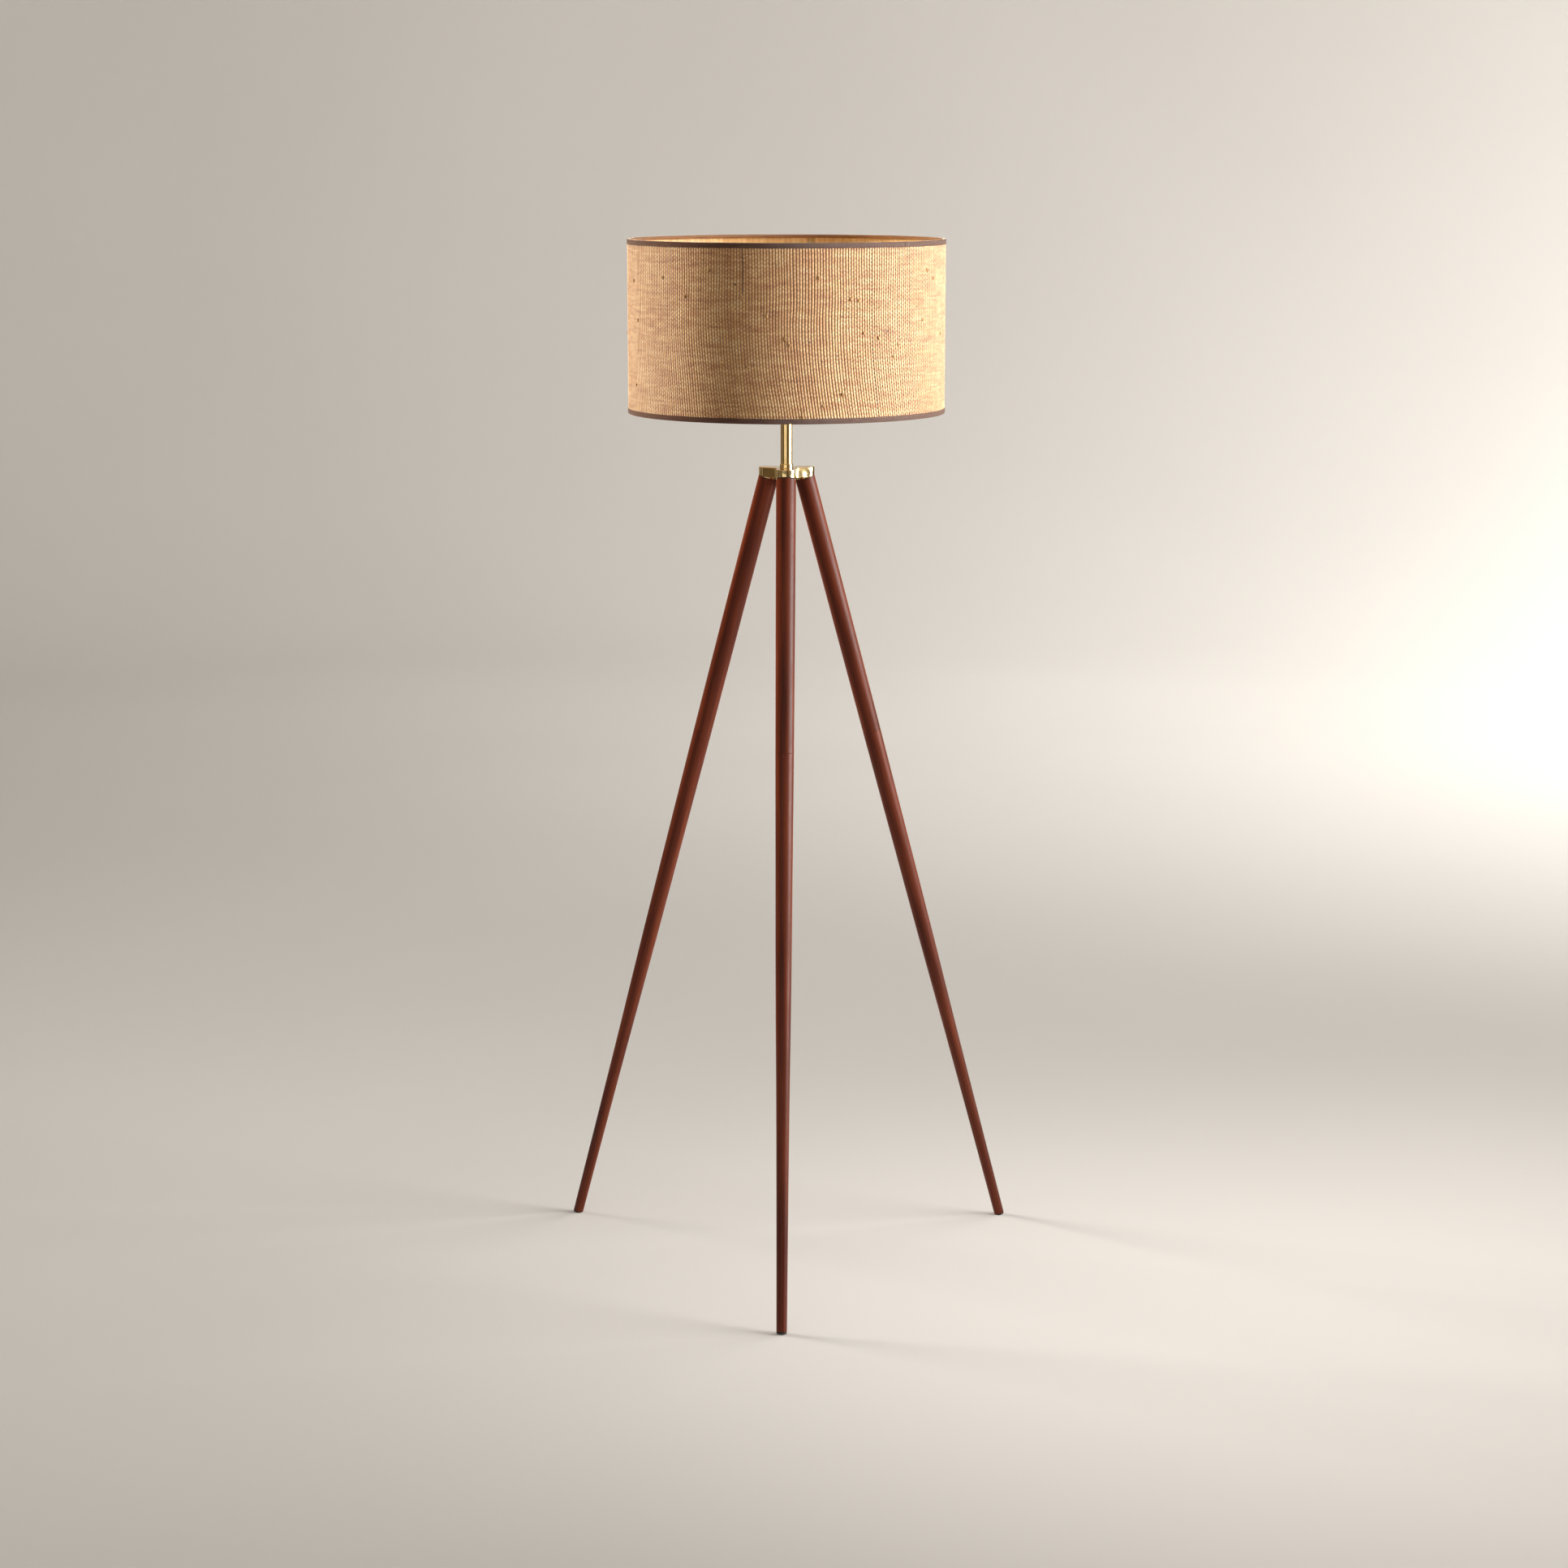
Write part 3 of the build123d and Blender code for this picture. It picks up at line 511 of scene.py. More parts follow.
def bias_tape(name):
    """Tightly woven cotton tape with a soft sheen: dark outside, with a warmer brown painted on its
    inside leg for the warm light bounced off the lining.
    """
    material, tree, principled = new_material(
        name, IOR=1.45, Sheen_Weight=0.95, Sheen_Roughness=0.24, Sheen_Tint=(1.0, 0.82, 0.66, 1))
    count = add(tree, "ShaderNodeUVMap", uv_map="thread_count").outputs["UV"]
    weave = use_group(tree, plain_weave, {"Count": count, "Gap": 0.3})
    wear = noise_of(tree, stretched(tree, count, (0.02, 0.30, 1)), 1.0, 4.0, 0.6)
    thread = noise_of(tree, stretched(tree, count, (0.9, 0.06, 1)), 1.0, 3.0, 0.6)
    tone = weighted(tree, (wear, 0.55), (thread, 0.45))
    dyed = ramp(tree, tone, [
        (0.32, (0.064, 0.025, 0.014)),
        (0.50, (0.104, 0.042, 0.024)),
        (0.68, (0.162, 0.074, 0.042)),
    ])
    # painted bounce light: the inside leg's warmer orange-brown stands for light thrown back off the
    # warm lining
    bounce_lit_inside = ramp(tree, tone, [(0.32, (0.170, 0.062, 0.018)), (0.68, (0.400, 0.185, 0.066))])
    across = add(tree, "ShaderNodeSeparateXYZ", {0: count}).outputs["Y"]
    inside = remap(tree, across, *INNER_LEG_THREADS, smooth=True)
    cloth = blend_colour(tree, inside, dyed, bounce_lit_inside)
    # painted shade: the lines between the threads are darkened towards near-black
    line = calc(tree, "MULTIPLY", weave["Line"], 0.45)
    feed(tree, principled,
         Base_Color=blend_colour(tree, line, cloth, (0.035, 0.015, 0.010, 1)),
         Roughness=remap(tree, thread, 0.3, 0.7, 0.46, 0.60),
         Normal=bump(tree, weave["Height"], 0.7, 0.12 * MM))
    return material


def styrene_lining(name):
    """Cream sheet, painted a warmer gold with mottling and upright streaks for the light shining
    through the weave behind it.
    """
    material, tree, principled = new_material(name, IOR=1.5)
    coords = object_coordinates(tree)
    weave_glow_streaks = noise_of(tree, stretched(tree, coords, (260, 260, 9)), 1.0, 3.0, 0.6)
    mottle = noise_of(tree, coords, 70.0, 4.0, 0.6)
    tone = weighted(tree, (weave_glow_streaks, 0.5), (mottle, 0.5))
    # painted glow: the warm gold and its mottling stand for light shining through the weave from
    # outside
    glow_tinted_cream = ramp(tree, tone, [
        (0.36, (0.60, 0.33, 0.12)),
        (0.52, (0.75, 0.48, 0.20)),
        (0.66, (0.86, 0.63, 0.32)),
    ])
    feed(tree, principled,
         Base_Color=glow_tinted_cream,
         Roughness=remap(tree, mottle, 0.3, 0.7, 0.48, 0.62),
         Normal=bump(tree, noise_of(tree, coords, 1800.0, 2.0), 0.25, 0.06 * MM))
    return material


def enamelled_wire(name):
    """White enamel on steel wire, a little dusty on top."""
    material, tree, principled = new_material(name, Coat_Weight=0.4, Coat_Roughness=0.15)
    coords = object_coordinates(tree)
    runs = noise_of(tree, coords, 60.0, 3.0, 0.5)
    faces = use_group(tree, dust_and_grain, {"Vector": coords, "Grain": 900.0})
    enamel = ramp(tree, runs, [(0.35, (0.74, 0.72, 0.66)), (0.65, (0.84, 0.83, 0.78))])
    dusted = calc(tree, "MULTIPLY", faces["Dust"], 0.4)
    feed(tree, principled,
         Base_Color=blend_colour(tree, dusted, enamel, (0.42, 0.37, 0.30, 1)),
         Roughness=remap(tree, runs, 0.3, 0.7, 0.28, 0.42),
         Normal=bump(tree, runs, 0.2, 0.2 * MM))
    return material


def opal_glass(name):
    """A soft white bulb: coated inside, smooth outside."""
    material, tree, principled = new_material(
        name, IOR=1.5, Transmission_Weight=0.25, Coat_Weight=0.7, Coat_Roughness=0.04)
    coords = object_coordinates(tree)
    cloud = noise_of(tree, coords, 38.0, 4.0, 0.5)
    feed(tree, principled,
         Base_Color=ramp(tree, cloud, [(0.35, (0.86, 0.85, 0.80)), (0.65, (0.93, 0.92, 0.89))]),
         Roughness=remap(tree, cloud, 0.3, 0.7, 0.34, 0.46))
    return material


FINISHES = {
    "brass": polished_metal("lamp_brass", (0.89, 0.68, 0.33), (0.83, 0.59, 0.24), 0.12, 0.19),
    "cast_brass": polished_metal("hub_brass", (0.89, 0.70, 0.36), (0.83, 0.61, 0.27), 0.12, 0.19,
                                 34.0, 1.6 * MM),
    "brass_shell": polished_metal("rolled_brass", (0.80, 0.60, 0.28), (0.66, 0.47, 0.20), 0.22, 0.36,
                                  80.0),
    "zinc_steel": polished_metal("zinc_plate", (0.66, 0.67, 0.66), (0.52, 0.53, 0.50), 0.24, 0.42,
                                 120.0),
    "bulb_cap": polished_metal("cap_aluminium", (0.78, 0.78, 0.79), (0.66, 0.66, 0.67), 0.20, 0.34,
                               110.0),
    "solder": polished_metal("tinned_contact", (0.68, 0.67, 0.64), (0.48, 0.47, 0.44), 0.28, 0.50,
                             260.0),
    "leg_wood": lacquered_wood("leg_lacquer"),
    "fibre_washer": moulded("washer_fibre", (0.014, 0.011, 0.009), (0.10, 0.09, 0.08), 0.72, 1600.0),
    "foot_rubber": moulded("foot_rubber", (0.020, 0.018, 0.017), (0.20, 0.18, 0.16), 0.78, 1300.0,
                           0.08 * MM),
    "black_nylon": moulded("bushing_nylon", (0.018, 0.017, 0.017), (0.16, 0.15, 0.14), 0.42, 2200.0),
    "phenolic": moulded("socket_phenolic", (0.022, 0.016, 0.013), (0.18, 0.16, 0.14), 0.40, 2600.0),
    "knob_plastic": moulded("knob_black", (0.016, 0.014, 0.013), (0.16, 0.15, 0.14), 0.24, 3000.0,
                            0.02 * MM),
    "porcelain": moulded("socket_porcelain", (0.70, 0.68, 0.63), (0.50, 0.46, 0.40), 0.46, 1500.0),
    "lining": styrene_lining("shade_lining_cream"),
    "raffia": woven_raffia("shade_raffia"),
    "edge_tape": bias_tape("rim_tape"),
    "white_wire": enamelled_wire("ring_enamel"),
    "bulb_glass": opal_glass("bulb_opal"),
    "bulb_black_glass": moulded("cap_insulator", (0.020, 0.014, 0.024), (0.12, 0.11, 0.11), 0.16,
                                900.0),
}


# ================================================================ legs
def leg_place(azimuth):
    """The leg's own frame: Z runs down the leg from the lobe's underside, X points outwards."""
    a = radians(azimuth)
    outward = Vector((cos(splay) * cos(a), cos(splay) * sin(a), sin(splay)))
    down = Vector((sin(splay) * cos(a), sin(splay) * sin(a), -cos(splay)))
    side = down.cross(outward)
    place = Matrix((outward, side, down)).transposed().to_4x4()
    place.translation = Vector((hub_leg_radius * cos(a), hub_leg_radius * sin(a), hub_plate_z))
    return place


def smooth_taper(knots, steps):
    """Radii down a leg through a few (distance, radius) knots, by Catmull-Rom."""
    found = []
    last = len(knots) - 1
    for index in range(last):
        before, start, end, after = (knots[max(0, min(last, index + k))] for k in (-1, 0, 1, 2))
        for step in range(steps):
            t = step / steps
            values = []
            for a, b, c, d in zip(before, start, end, after):
                values.append(0.5 * (2 * b + (c - a) * t + (2 * a - 5 * b + 4 * c - d) * t * t
                                     + (3 * b - a - 3 * c + d) * t ** 3))
            found.append(tuple(values))
    found.append(knots[-1])
    return found


def turned_leg_length(name, azimuth, knots, start_cut, end_cut, grain_shift):
    """One length of a leg: start_cut and end_cut are the chamfers at its two ends."""
    first, last = knots[0], knots[-1]
    points = [(0.0, first[0]), (first[1] - start_cut, first[0]), (first[1], first[0] + start_cut)]
    taper = [(first[0] + start_cut * 2, first[1]), *knots[1:-1], (last[0] - end_cut * 2, last[1])]
    points += [(radius, distance) for distance, radius in smooth_taper(taper, 10)]
    points += [(last[1], last[0] - end_cut), (last[1] - end_cut, last[0]), (0.0, last[0])]
    bm = turned(points, leg_segments)
    grain = bm.verts.layers.float_vector.new("leg_grain")
    for vert in bm.verts:
        vert[grain] = vert.co + Vector(grain_shift)
    bmesh.ops.transform(bm, matrix=leg_place(azimuth), verts=bm.verts)
    bmesh.ops.recalc_face_normals(bm, faces=bm.faces)
    piece = new_piece(name, bm, FINISHES["leg_wood"])
    sharpen(piece, 25.0)
    return piece


leg_end_distance = (hub_plate_z - pad_radius * sin(splay) + pad_trim) / cos(splay) - pad_thickness
upper_knots = [(leg_washer_thickness, leg_top_radius),
               (leg_joint_distance / 2, leg_upper_middle_radius),
               (leg_joint_distance, leg_joint_radius)]
lower_knots = [(leg_joint_distance, leg_joint_radius)]
lower_knots += [(distance * MM, radius * MM) for distance, radius in leg_lower_radii]
lower_knots += [(leg_end_distance, leg_end_radius)]

for number, (side, azimuth) in enumerate(LEG_AZIMUTHS.items()):
    shift = 0.31 * number
    upper = turned_leg_length(f"turned_leg_upper_{side}", azimuth, upper_knots, leg_top_round,
                              leg_joint_chamfer, (0.07 + shift, 0.05, 0.9 * number))
    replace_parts(upper, f"leg_upper_{side}")
    lower = turned_leg_length(f"turned_leg_lower_{side}", azimuth, lower_knots, leg_joint_chamfer,
                              leg_end_chamfer, (0.19 + shift, 0.11, 1.7 * number))
    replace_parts(lower, f"leg_lower_{side}")


# ================================================================ stem
def make_stem_tube():
    """The plain brass tube."""
    outer = stem_high.x
    bore = outer - stem_wall
    section = [(bore, stem_low.z), (outer, stem_low.z), (outer, stem_high.z), (bore, stem_high.z)]
    bm = turned(section, stem_segments, closed=True)
    piece = new_piece("drawn_stem_tube", bm, FINISHES["brass"])
    sharpen(piece)
    return piece


def make_stem_collar():
    """The small ring at the tube's foot: a narrow base, a shallow waist and a rounded top."""
    bore, outer = stem_high.x + collar_bore_gap, collar_high.x
    low, high = collar_low.z, collar_high.z
    round_centre = (outer - collar_rounding - 0.15 * MM, high - collar_rounding)
    section = [(bore, low), (outer, low), (outer, low + 0.6 * MM), (outer - 0.25 * MM, low + 1.4 * MM)]
    section += arc(round_centre, collar_rounding, 0, 90, 6) + [(bore, high)]
    bm = turned(section, stem_segments, closed=True)
    piece = new_piece("turned_stem_collar", bm, FINISHES["brass"])
    sharpen(piece, 50.0)
    return piece


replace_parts(make_stem_tube(), "stem_tube")
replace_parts(make_stem_collar(), "stem_collar")


# ================================================================ shade
def strand_drift(angle, depth):
    """How far a strand has wandered round the drum, in metres, at a share depth of the height."""
    lean = strand_lean + strand_lean_change * cos(angle - radians(-62))
    settle = max(0.0, depth - 0.42) / 0.58
    wave = noise.noise(Vector((3.0 * cos(angle), 3.0 * sin(angle), 2.2 * depth + 4.0)))
    ripple = noise.noise(Vector((14.0 * cos(angle), 14.0 * sin(angle), 5.0 * depth)))
    return lean * settle ** 1.6 + strand_wave * wave * min(1.0, 3 * depth) + strand_ripple * ripple


# darker fibres caught in a gap between strands: degrees right of the front, then from which to
# which share of the height, measured down from the top
SOLID_FIBRES = ((-14.0, 0.0, 0.29), (118.0, 0.10, 0.35), (-128.0, 0.05, 0.30))
DOTTED_FIBRES = ((-57.5, 0.48, 0.97), (32.0, 0.0, 0.97), (171.0, 0.35, 0.80), (-98.0, 0.55, 0.92))


def fibre_darkness(fibres, place, depth):
    """How dark a fibre is at a strand count right of the front and a share of the height."""
    for degrees_right, start, end in fibres:
        gap = round(degrees_right * strand_count / 360) % strand_count
        if abs(place - gap) < fibre_half_width and start <= depth < end:
            return 1.0 - abs(place - gap) / fibre_half_width
    return 0.0


def rolled(points, segments, counts_name, counts_of):
    """Roll a flat sheet round the drum: points are its section, counts_of gives its thread counts."""
    rows = len(points)
    bm = bmesh.new()
    bmesh.ops.create_grid(bm, x_segments=segments, y_segments=rows, size=0.5)
    counts = bm.loops.layers.uv.new(counts_name)
    for face in bm.faces:
        for loop in face.loops:
            flat = loop.vert.co
            loop[counts].uv = counts_of(flat.x + 0.5, round((flat.y + 0.5) * rows))
    for vert in bm.verts:
        radius, height = points[round((vert.co.y + 0.5) * rows) % rows]
        angle = 2 * pi * round((vert.co.x + 0.5) * segments) / segments + pi / 2
        vert.co = (radius * cos(angle), radius * sin(angle), height)
    bmesh.ops.remove_doubles(bm, verts=bm.verts, dist=1e-6)
    return bm


def make_woven_drum():
    """The woven skin: each strand is a raised column, and wanders a little on its way down."""
    inner = lining_radius + fabric_bond_gap
    low, high = fabric_low.z, fabric_high.z
    column = [(fabric_radius, low + (high - low) * row / fabric_rows) for row in range(fabric_rows + 1)]

    def weave_counts(turn, row):
        depth = min(row, fabric_rows) / fabric_rows
        return turn * strand_count, depth * (high - low) / weft_pitch

    bm = rolled(column + [(inner, high), (inner, low)], strand_count * columns_per_strand,
                "weave_count", weave_counts)
    solid = bm.verts.layers.float.new("solid_fibre")
    dotted = bm.verts.layers.float.new("dotted_fibre")
    for vert in bm.verts:
        if vert.co.xy.length < fabric_radius - 0.1 * MM:
            continue
        angle = atan2(vert.co.y, vert.co.x)
        depth = (high - vert.co.z) / (high - low)
        place = (angle / (2 * pi) + 0.75) % 1.0 * strand_count
        from_gap = abs((place + 0.5) % 1.0 - 0.5)
        hollow = strand_relief * max(0.0, 1.0 - 2.6 * from_gap)
        strand = floor(place + 1e-4)
        thickness = strand_unevenness * noise.noise(Vector((strand * 3.7, depth * 6.0, 1.0)))
        right_of_front = (angle / (2 * pi) + 0.25) % 1.0 * strand_count
        vert[solid] = fibre_darkness(SOLID_FIBRES, right_of_front, depth)
        vert[dotted] = fibre_darkness(DOTTED_FIBRES, right_of_front, depth)
        moved = angle + strand_drift(angle, depth) / fabric_radius
        radius = fabric_radius - hollow + min(0.0, thickness)
        vert.co.x, vert.co.y = radius * cos(moved), radius * sin(moved)
    bmesh.ops.recalc_face_normals(bm, faces=bm.faces)
    return new_piece("woven_drum", bm, FINISHES["raffia"])


woven_drum = make_woven_drum()
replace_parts(woven_drum, "shade_fabric")

# knots and slubs that stand out of the weave: degrees right of the front, share of the height
# down from the top, size
KNOTS = (
    (-14.5, 0.30, 1.7), (0.5, 0.53, 2.3), (2.0, 0.56, 1.6), (-17.5, 0.36, 1.6), (-6.0, 0.40, 1.4),
    (-27.0, 0.15, 1.5), (-37.0, 0.30, 1.3), (12.0, 0.19, 1.5), (24.0, 0.31, 1.4), (27.0, 0.32, 1.3),
    (21.0, 0.84, 2.0), (42.0, 0.64, 1.5), (44.0, 0.57, 1.4), (35.0, 0.53, 1.3), (61.0, 0.16, 1.7),
    (66.0, 0.21, 1.3), (58.0, 0.44, 1.3), (74.0, 0.53, 1.4), (-21.5, 0.66, 1.6), (-13.0, 0.68, 1.4),
    (14.0, 0.90, 1.5), (6.5, 0.96, 1.4), (-70.0, 0.23, 1.3), (-66.0, 0.45, 1.5), (-68.0, 0.82, 1.3),
    (-48.0, 0.20, 1.2), (29.0, 0.50, 1.2), (96.0, 0.30, 1.7), (124.0, 0.71, 1.5), (150.0, 0.44, 2.0),
    (178.0, 0.17, 1.4), (-160.0, 0.58, 1.7), (-131.0, 0.80, 1.5), (-104.0, 0.36, 1.8),
    (-88.0, 0.54, 1.4),
)
# each knot's lumps: how far to the side, how far down, and what share of the knot's size
KNOT_LUMPS = ((0.0, 0.0, 1.0), (0.9, -1.3, 0.7), (-0.8, 1.1, 0.6))


def make_weave_knots():
    """Each knot is a short curled lump of strand, with a stub standing off beside it."""
    bm = bmesh.new()
    centre = (0, 0, 0)
    radius = fabric_radius + knot_rise
    for number, (degrees_right, depth, size) in enumerate(KNOTS):
        angle = radians(degrees_right - 90.0)
        height = fabric_high.z - depth * (fabric_high.z - fabric_low.z)
        on_drum = (radius * cos(angle), radius * sin(angle), height)
        for stub, (side, drop, share) in enumerate(KNOT_LUMPS):
            made = bmesh.ops.create_icosphere(bm, subdivisions=2, radius=knot_radius * share)["verts"]
            for vert in made:
                lump = noise.noise(vert.co * 1900.0 + Vector((degrees_right, stub, 0)))
                vert.co *= 1.0 + 0.5 * lump
            curl = Matrix.Rotation(0.9 * sin(7.0 * number + 2.0 * stub), 3, "X")
            aside = (0, side * size * 0.55 * MM, drop * size * 0.6 * MM)
            bmesh.ops.scale(bm, vec=(0.75, 0.9 + 0.5 * size, 0.8 + 0.9 * size), verts=made)
            bmesh.ops.rotate(bm, cent=centre, matrix=curl, verts=made)
            bmesh.ops.translate(bm, vec=aside, verts=made)
            bmesh.ops.rotate(bm, cent=centre, matrix=Matrix.Rotation(angle, 3, "Z"), verts=made)
            bmesh.ops.translate(bm, vec=on_drum, verts=made)
    return new_piece("weave_knots", bm, knotted_raffia("raffia_knots"))


weave_knots = make_weave_knots()


def tape_outline(rim, inward, drop_inside, swell=0.0):
    """The folded tape's section: a long leg outside, over the rim, and a short leg inside."""
    t = tape_thickness
    outer, inner = tape_radius + swell, tape_inner_radius
    rounding = tape_round_over
    under_rim = t + 0.1 * MM
    # (radius, drop from the rim) from the outside leg's hem, over the rim, to the fold's underside
    section = [(outer - t + 0.04 * MM, tape_drop_outside), (outer - 0.15 * MM, tape_drop_outside)]
    section += [(outer, row) for row in tape_outside_rows]
    section += [(outer - rounding * (1 - cos(radians(a))), rounding * (1 - sin(radians(a))))
                for a in (0, 22, 45, 68, 90)]
    section += [(inner + rounding * (1 - cos(radians(a))), rounding * (1 - sin(radians(a))))
                for a in (90, 68, 45, 22, 0)]
    section += [(inner, drop_inside - 0.3 * MM), (inner + 0.15 * MM, drop_inside)]
    section += [(inner + t, drop_inside), (inner + t, under_rim), (outer - t, under_rim)]
    return [(radius, rim + inward * drop) for radius, drop in section]


def threads_across(radius, height):
    """Threads from the rim's outer edge: below zero down the outside leg, above zero inwards."""
    if radius > tape_radius - 0.6 * MM:
        return -abs(height) / tape_thread
    return (abs(height) + tape_radius - radius) / tape_thread


def make_rim_tape(name, rim, inward, drop_inside):
    """One rim's tape, a little wavy at its hem and puckered down its outside leg."""
    section = tape_outline(rim, inward, drop_inside)
    across = [threads_across(radius, height - rim) for radius, height in section]
    across.append(across[0])

    def thread_counts(turn, row):
        return turn * round(2 * pi * tape_radius / tape_thread), across[row]

    bm = rolled(section, tape_segments, "thread_count", thread_counts)
    for vert in bm.verts:
        angle = atan2(vert.co.y, vert.co.x)
        drop = inward * (vert.co.z - rim)
        outside = vert.co.xy.length > tape_radius - 0.2 * MM
        wander = noise.noise(Vector((9.0 * cos(angle), 9.0 * sin(angle), 7.0 * inward)))
        if drop > 7.0 * MM:
            vert.co.z += inward * 0.35 * MM * wander
        if outside and drop > 1.2 * MM:
            pucker = noise.noise(Vector((30.0 * cos(angle), 30.0 * sin(angle), 300.0 * vert.co.z)))
            grown = 1.0 + (0.10 * MM * min(0.0, pucker)) / tape_radius
            vert.co.x *= grown
            vert.co.y *= grown
    bmesh.ops.recalc_face_normals(bm, faces=bm.faces)
    return new_piece(name, bm, FINISHES["edge_tape"])


top_tape = make_rim_tape("rim_tape_top", shade_top, -1, tape_drop_inside["top"])
bottom_tape = make_rim_tape("rim_tape_bottom", shade_bottom, 1, tape_drop_inside["bottom"])
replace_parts(top_tape, "shade_top_tape")
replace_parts(bottom_tape, "shade_bottom_tape")


def make_tape_lap(name, rim, inward, drop_inside, degrees_right):
    """The folded-under end of a tape, glued over its start."""
    bm = bmesh.new()
    section = tape_outline(rim, inward, drop_inside, swell=tape_lap_swell)
    outside_leg = [(radius, height) for radius, height in section if radius > tape_radius - 2.0 * MM]
    drawn = outline(bm, outside_leg, closed=True)
    face = bmesh.ops.contextual_create(bm, geom=drawn)["faces"]
    start = radians(degrees_right - 90.0)
    bmesh.ops.spin(bm, geom=drawn + face, cent=(0, 0, 0), axis=(0, 0, 1), steps=8,
                   angle=tape_lap_width / tape_radius, use_merge=False, use_duplicate=False)
    bmesh.ops.rotate(bm, cent=(0, 0, 0), matrix=Matrix.Rotation(start, 3, "Z"), verts=bm.verts)
    counts = bm.loops.layers.uv.new("thread_count")
    for face in bm.faces:
        for loop in face.loops:
            flat = loop.vert.co
            across = threads_across(flat.xy.length, flat.z - rim)
            loop[counts].uv = (atan2(flat.y, flat.x) * tape_radius / tape_thread, across)
    for vert in bm.verts:
        vert.co.z = min(vert.co.z, shade_top)
    bmesh.ops.recalc_face_normals(bm, faces=bm.faces)
    return new_piece(name, bm, FINISHES["edge_tape"])


top_lap = make_tape_lap("rim_tape_top_lap", shade_top, -1, tape_drop_inside["top"], 47.0)
bottom_lap = make_tape_lap("rim_tape_bottom_lap", shade_bottom, 1, tape_drop_inside["bottom"], 158.0)


def make_lining_overlap():
    """The glued upright overlap where the lining's two ends meet, at the back."""
    bm = bmesh.new()
    bore = lining_radius - lining_thickness
    inner, outer = bore - lining_overlap_thickness, bore + 0.1 * MM
    low, high = shade_bottom + lining_overlap_margin, shade_top - lining_overlap_margin
    drawn = outline(bm, [(inner, low), (outer, low), (outer, high), (inner, high)], closed=True)
    face = bmesh.ops.contextual_create(bm, geom=drawn)["faces"]
    bmesh.ops.spin(bm, geom=drawn + face, cent=(0, 0, 0), axis=(0, 0, 1), steps=6,
                   angle=lining_overlap_width / bore, use_merge=False, use_duplicate=False)
    bmesh.ops.rotate(bm, cent=(0, 0, 0), matrix=Matrix.Rotation(radians(80.0), 3, "Z"), verts=bm.verts)
    bmesh.ops.recalc_face_normals(bm, faces=bm.faces)
    return new_piece("lining_overlap", bm, FINISHES["lining"])


make_lining_overlap()


# ================================================================ bulb
def make_bulb_envelope():
    """A thin glass globe on a short neck, open at its foot inside the cap."""
    top, foot = bulb_glass_high.z, bulb_glass_low.z
    globe = bulb_glass_high.x
    centre = top - globe
    neck, wall = bulb_neck_radius, bulb_glass_wall
    shoulder = []
    for step in range(1, 14):
        t = step / 14
        ease = t * t * (3 - 2 * t)
        shoulder.append((neck + (globe - neck) * (0.28 * t + 0.72 * ease), foot + (centre - foot) * t))
    skin = [(neck, foot)] + shoulder + arc((0, centre), globe, 0, 90, 16)
    inside = []
    for radius, height in reversed(skin[1:]):
        near_top = radius < globe / 2 and height > centre
        inside.append((max(0.0, radius - wall), height - (wall if near_top else 0.0)))
    inside[0] = (0.0, top - wall)
    bm = turned(skin[:-1] + [(0.0, top)] + inside + [(neck - wall, foot)], 64, closed=True)
    return new_piece("bulb_envelope", bm, FINISHES["bulb_glass"], body="bulb")


def make_bulb_screw_cap():
    """A rolled screw cap: a plain core with a rounded thread wound round it."""
    low, high = bulb_cap_low.z, bulb_cap_high.z
    root = bulb_cap_high.x - screw_thread_depth
    rim = root + 0.5 * MM
    core = [(0.0, low), (root - 1.6 * MM, low), (root - 0.4 * MM, low + 0.8 * MM),
            (root, low + 1.8 * MM), (root, high - 2.2 * MM), (rim, high - 1.4 * MM),
            (rim, high - 0.5 * MM), (root, high), (0.0, high)]
    bm = turned(core, 64)
    start = low + 1.4 * MM
    buried = root - 0.3 * MM
    ridge = [(buried, start)]
    ridge += arc((root, start + 1.15 * MM), screw_thread_depth, -75, 75, 6)
    ridge += [(buried, start + 2.3 * MM)]
    drawn = outline(bm, ridge, closed=True)
    face = bmesh.ops.contextual_create(bm, geom=drawn)["faces"]
    bmesh.ops.spin(bm, geom=drawn + face, cent=(0, 0, 0), axis=(0, 0, 1),
                   dvec=(0, 0, screw_thread_pitch / screw_steps_per_turn),
                   angle=2 * pi * screw_thread_turns, steps=screw_steps_per_turn * screw_thread_turns,
                   use_merge=False, use_duplicate=False)
    bmesh.ops.recalc_face_normals(bm, faces=bm.faces)
    piece = new_piece("bulb_screw_cap", bm, FINISHES["bulb_cap"], body="bulb")
    sharpen(piece, 50.0)
    return piece


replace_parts(make_bulb_envelope(), "bulb_glass")
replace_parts(make_bulb_screw_cap(), "bulb_cap")


# ================================================================ carried-over parts
slot_of = {part["node"]: part["material_slot"] for part in frame["record"]["subparts"]}
slot_of["hub_body"] = "cast_brass"
for node_name, part in frame["nodes"].items():
    finish = FINISHES[slot_of[node_name]]
    for slot_index in range(len(part.data.materials)):
        part.data.materials[slot_index] = finish


# ================================================================ studio
def make_studio():
    """A round seamless sweep: a flat floor that curves up into a wall on all sides."""
    floor_radius, sweep, wall_top = 6.2, 2.6, 6.0
    points = [(0.0, 0.0), (2.0, 0.0), (4.0, 0.0)]
    points += arc((floor_radius, sweep), sweep, -90, 0, 15)
    points.append((floor_radius + sweep, wall_top))
    bm = turned(points, 96)
    bmesh.ops.reverse_faces(bm, faces=bm.faces)
    material, tree, principled = new_material("studio_paper", Roughness=0.95, Specular_IOR_Level=0.1)
    soft = noise_of(tree, object_coordinates(tree), 0.5, 2.0)
    paper = [(0.3, (0.67, 0.642, 0.607)), (0.7, (0.70, 0.672, 0.637))]
    feed(tree, principled, Base_Color=ramp(tree, soft, paper))
    new_piece("studio_sweep", bm, material, body=None)


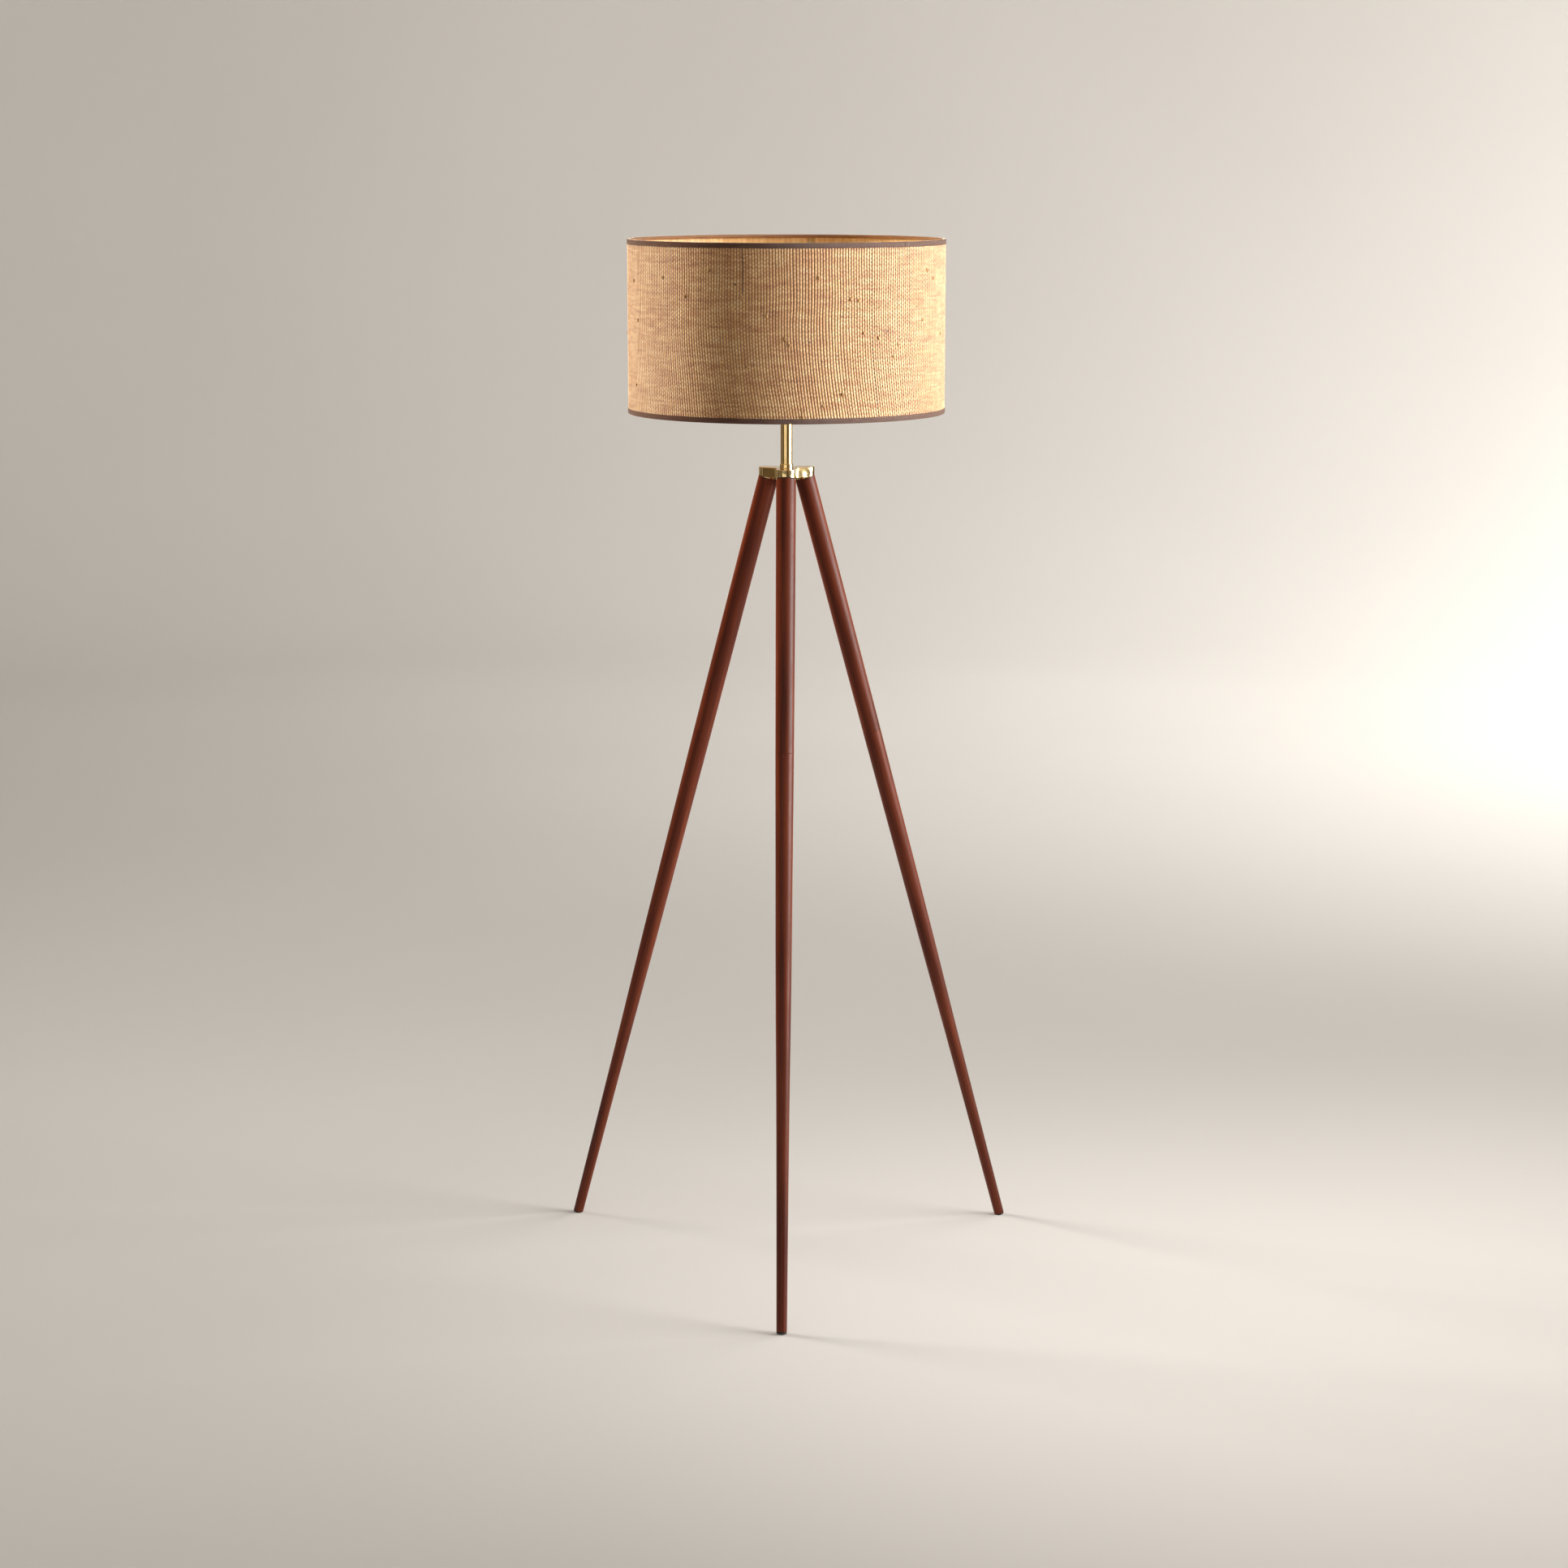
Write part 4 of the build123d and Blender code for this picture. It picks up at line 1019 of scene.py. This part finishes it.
def soft_light(name, place, aim, width, height, watts, colour, in_reflections=True, spread=180):
    """A soft box: spread is its beam in degrees, and in_reflections lets polished parts show it."""
    lamp = bpy.data.lights.new(name, "AREA")
    lamp.shape = "RECTANGLE"
    lamp.size, lamp.size_y = width, height
    lamp.energy = watts
    lamp.color = colour
    lamp.spread = radians(spread)
    holder = bpy.data.objects.new(name, lamp)
    bpy.context.scene.collection.objects.link(holder)
    holder.location = place
    holder.rotation_euler = (Vector(aim) - Vector(place)).to_track_quat("-Z", "Y").to_euler()
    holder.visible_camera = False
    holder.visible_glossy = in_reflections


def dark_flag(name, azimuth, distance, width, height, middle):
    """A dark card that only polished surfaces see: it gives the brass its dark stripes."""
    bm = bmesh.new()
    bmesh.ops.create_grid(bm, x_segments=1, y_segments=1, size=0.5)
    bmesh.ops.scale(bm, vec=(width, height, 1), verts=bm.verts)
    a = radians(azimuth)
    place = Vector((distance * sin(a), -distance * cos(a), middle))
    turn = (Vector((0, 0, middle)) - place).to_track_quat("Z", "Y").to_matrix()
    bmesh.ops.rotate(bm, cent=(0, 0, 0), matrix=turn, verts=bm.verts)
    bmesh.ops.translate(bm, vec=place, verts=bm.verts)
    material, tree, principled = new_material(name + "_cloth", Roughness=0.95)
    nap = noise_of(tree, object_coordinates(tree), 3.0, 2.0)
    cloth = [(0.3, (0.055, 0.038, 0.022)), (0.7, (0.10, 0.070, 0.042))]
    feed(tree, principled, Base_Color=ramp(tree, nap, cloth))
    flag = new_piece(name, bm, material, body=None, smooth=False)
    flag.visible_camera = False
    flag.visible_diffuse = False
    flag.visible_shadow = False
    flag.visible_transmission = False


make_studio()
dark_flag("flag_narrow", 25, 2.3, 0.80, 3.2, 1.5)
dark_flag("flag_left_near", -62, 2.6, 1.05, 3.6, 1.6)
dark_flag("flag_left", -94, 2.6, 1.15, 3.6, 1.6)
dark_flag("flag_left_far", -126, 2.6, 1.0, 3.6, 1.6)
dark_flag("flag_behind_right", 140, 2.8, 1.6, 3.6, 1.6)
soft_light("key_right", (2.75, -0.34, 1.70), (0, 0, 1.40), 1.9, 2.2, 49, (1.0, 0.99, 0.965), True, 74)
soft_light("fill_front", (-1.35, -4.1, 1.8), (0, 0, 1.0), 4.0, 2.4, 25, (1.0, 0.91, 0.80))
soft_light("back_left", (-2.36, 1.10, 2.1), (0, 0, 1.35), 0.9, 0.9, 20, (1.0, 0.96, 0.92), False, 50)
soft_light("overhead", (0.9, 0.6, 5.6), (0, 0, 0), 5.0, 5.0, 12, (1.0, 0.97, 0.93))
WASH_COLOUR = (1.0, 0.985, 0.96)
soft_light("wall_wash", (3.4, 3.0, 4.2), (1.8, 9.0, 0.6), 2.6, 2.6, 85, WASH_COLOUR, False, 150)
soft_light("floor_wash", (4.7, 4.4, 2.7), (0.4, 4.4, 0.0), 5.4, 1.4, 220, WASH_COLOUR, False, 150)

scene = bpy.context.scene
scene.view_settings.view_transform = "Standard"
scene.world = bpy.data.worlds.new("studio_air")
scene.world.use_nodes = True
air = scene.world.node_tree.nodes["Background"].inputs
air["Color"].default_value = (1.0, 0.945, 0.885, 1)
air["Strength"].default_value = 0.28


# ================================================================ camera
camera_turn = radians(1.0)
camera_distance, camera_height = 5.10, 1.647
lens = bpy.data.cameras.new("camera")
lens.lens = 80.8
lens.sensor_width = 36.0
camera = bpy.data.objects.new("camera", lens)
scene.collection.objects.link(camera)
camera.location = Matrix.Rotation(camera_turn, 3, "Z") @ Vector((0, -camera_distance, camera_height))
camera.rotation_euler = (radians(79.65), 0.0, camera_turn + radians(0.04))
scene.camera = camera
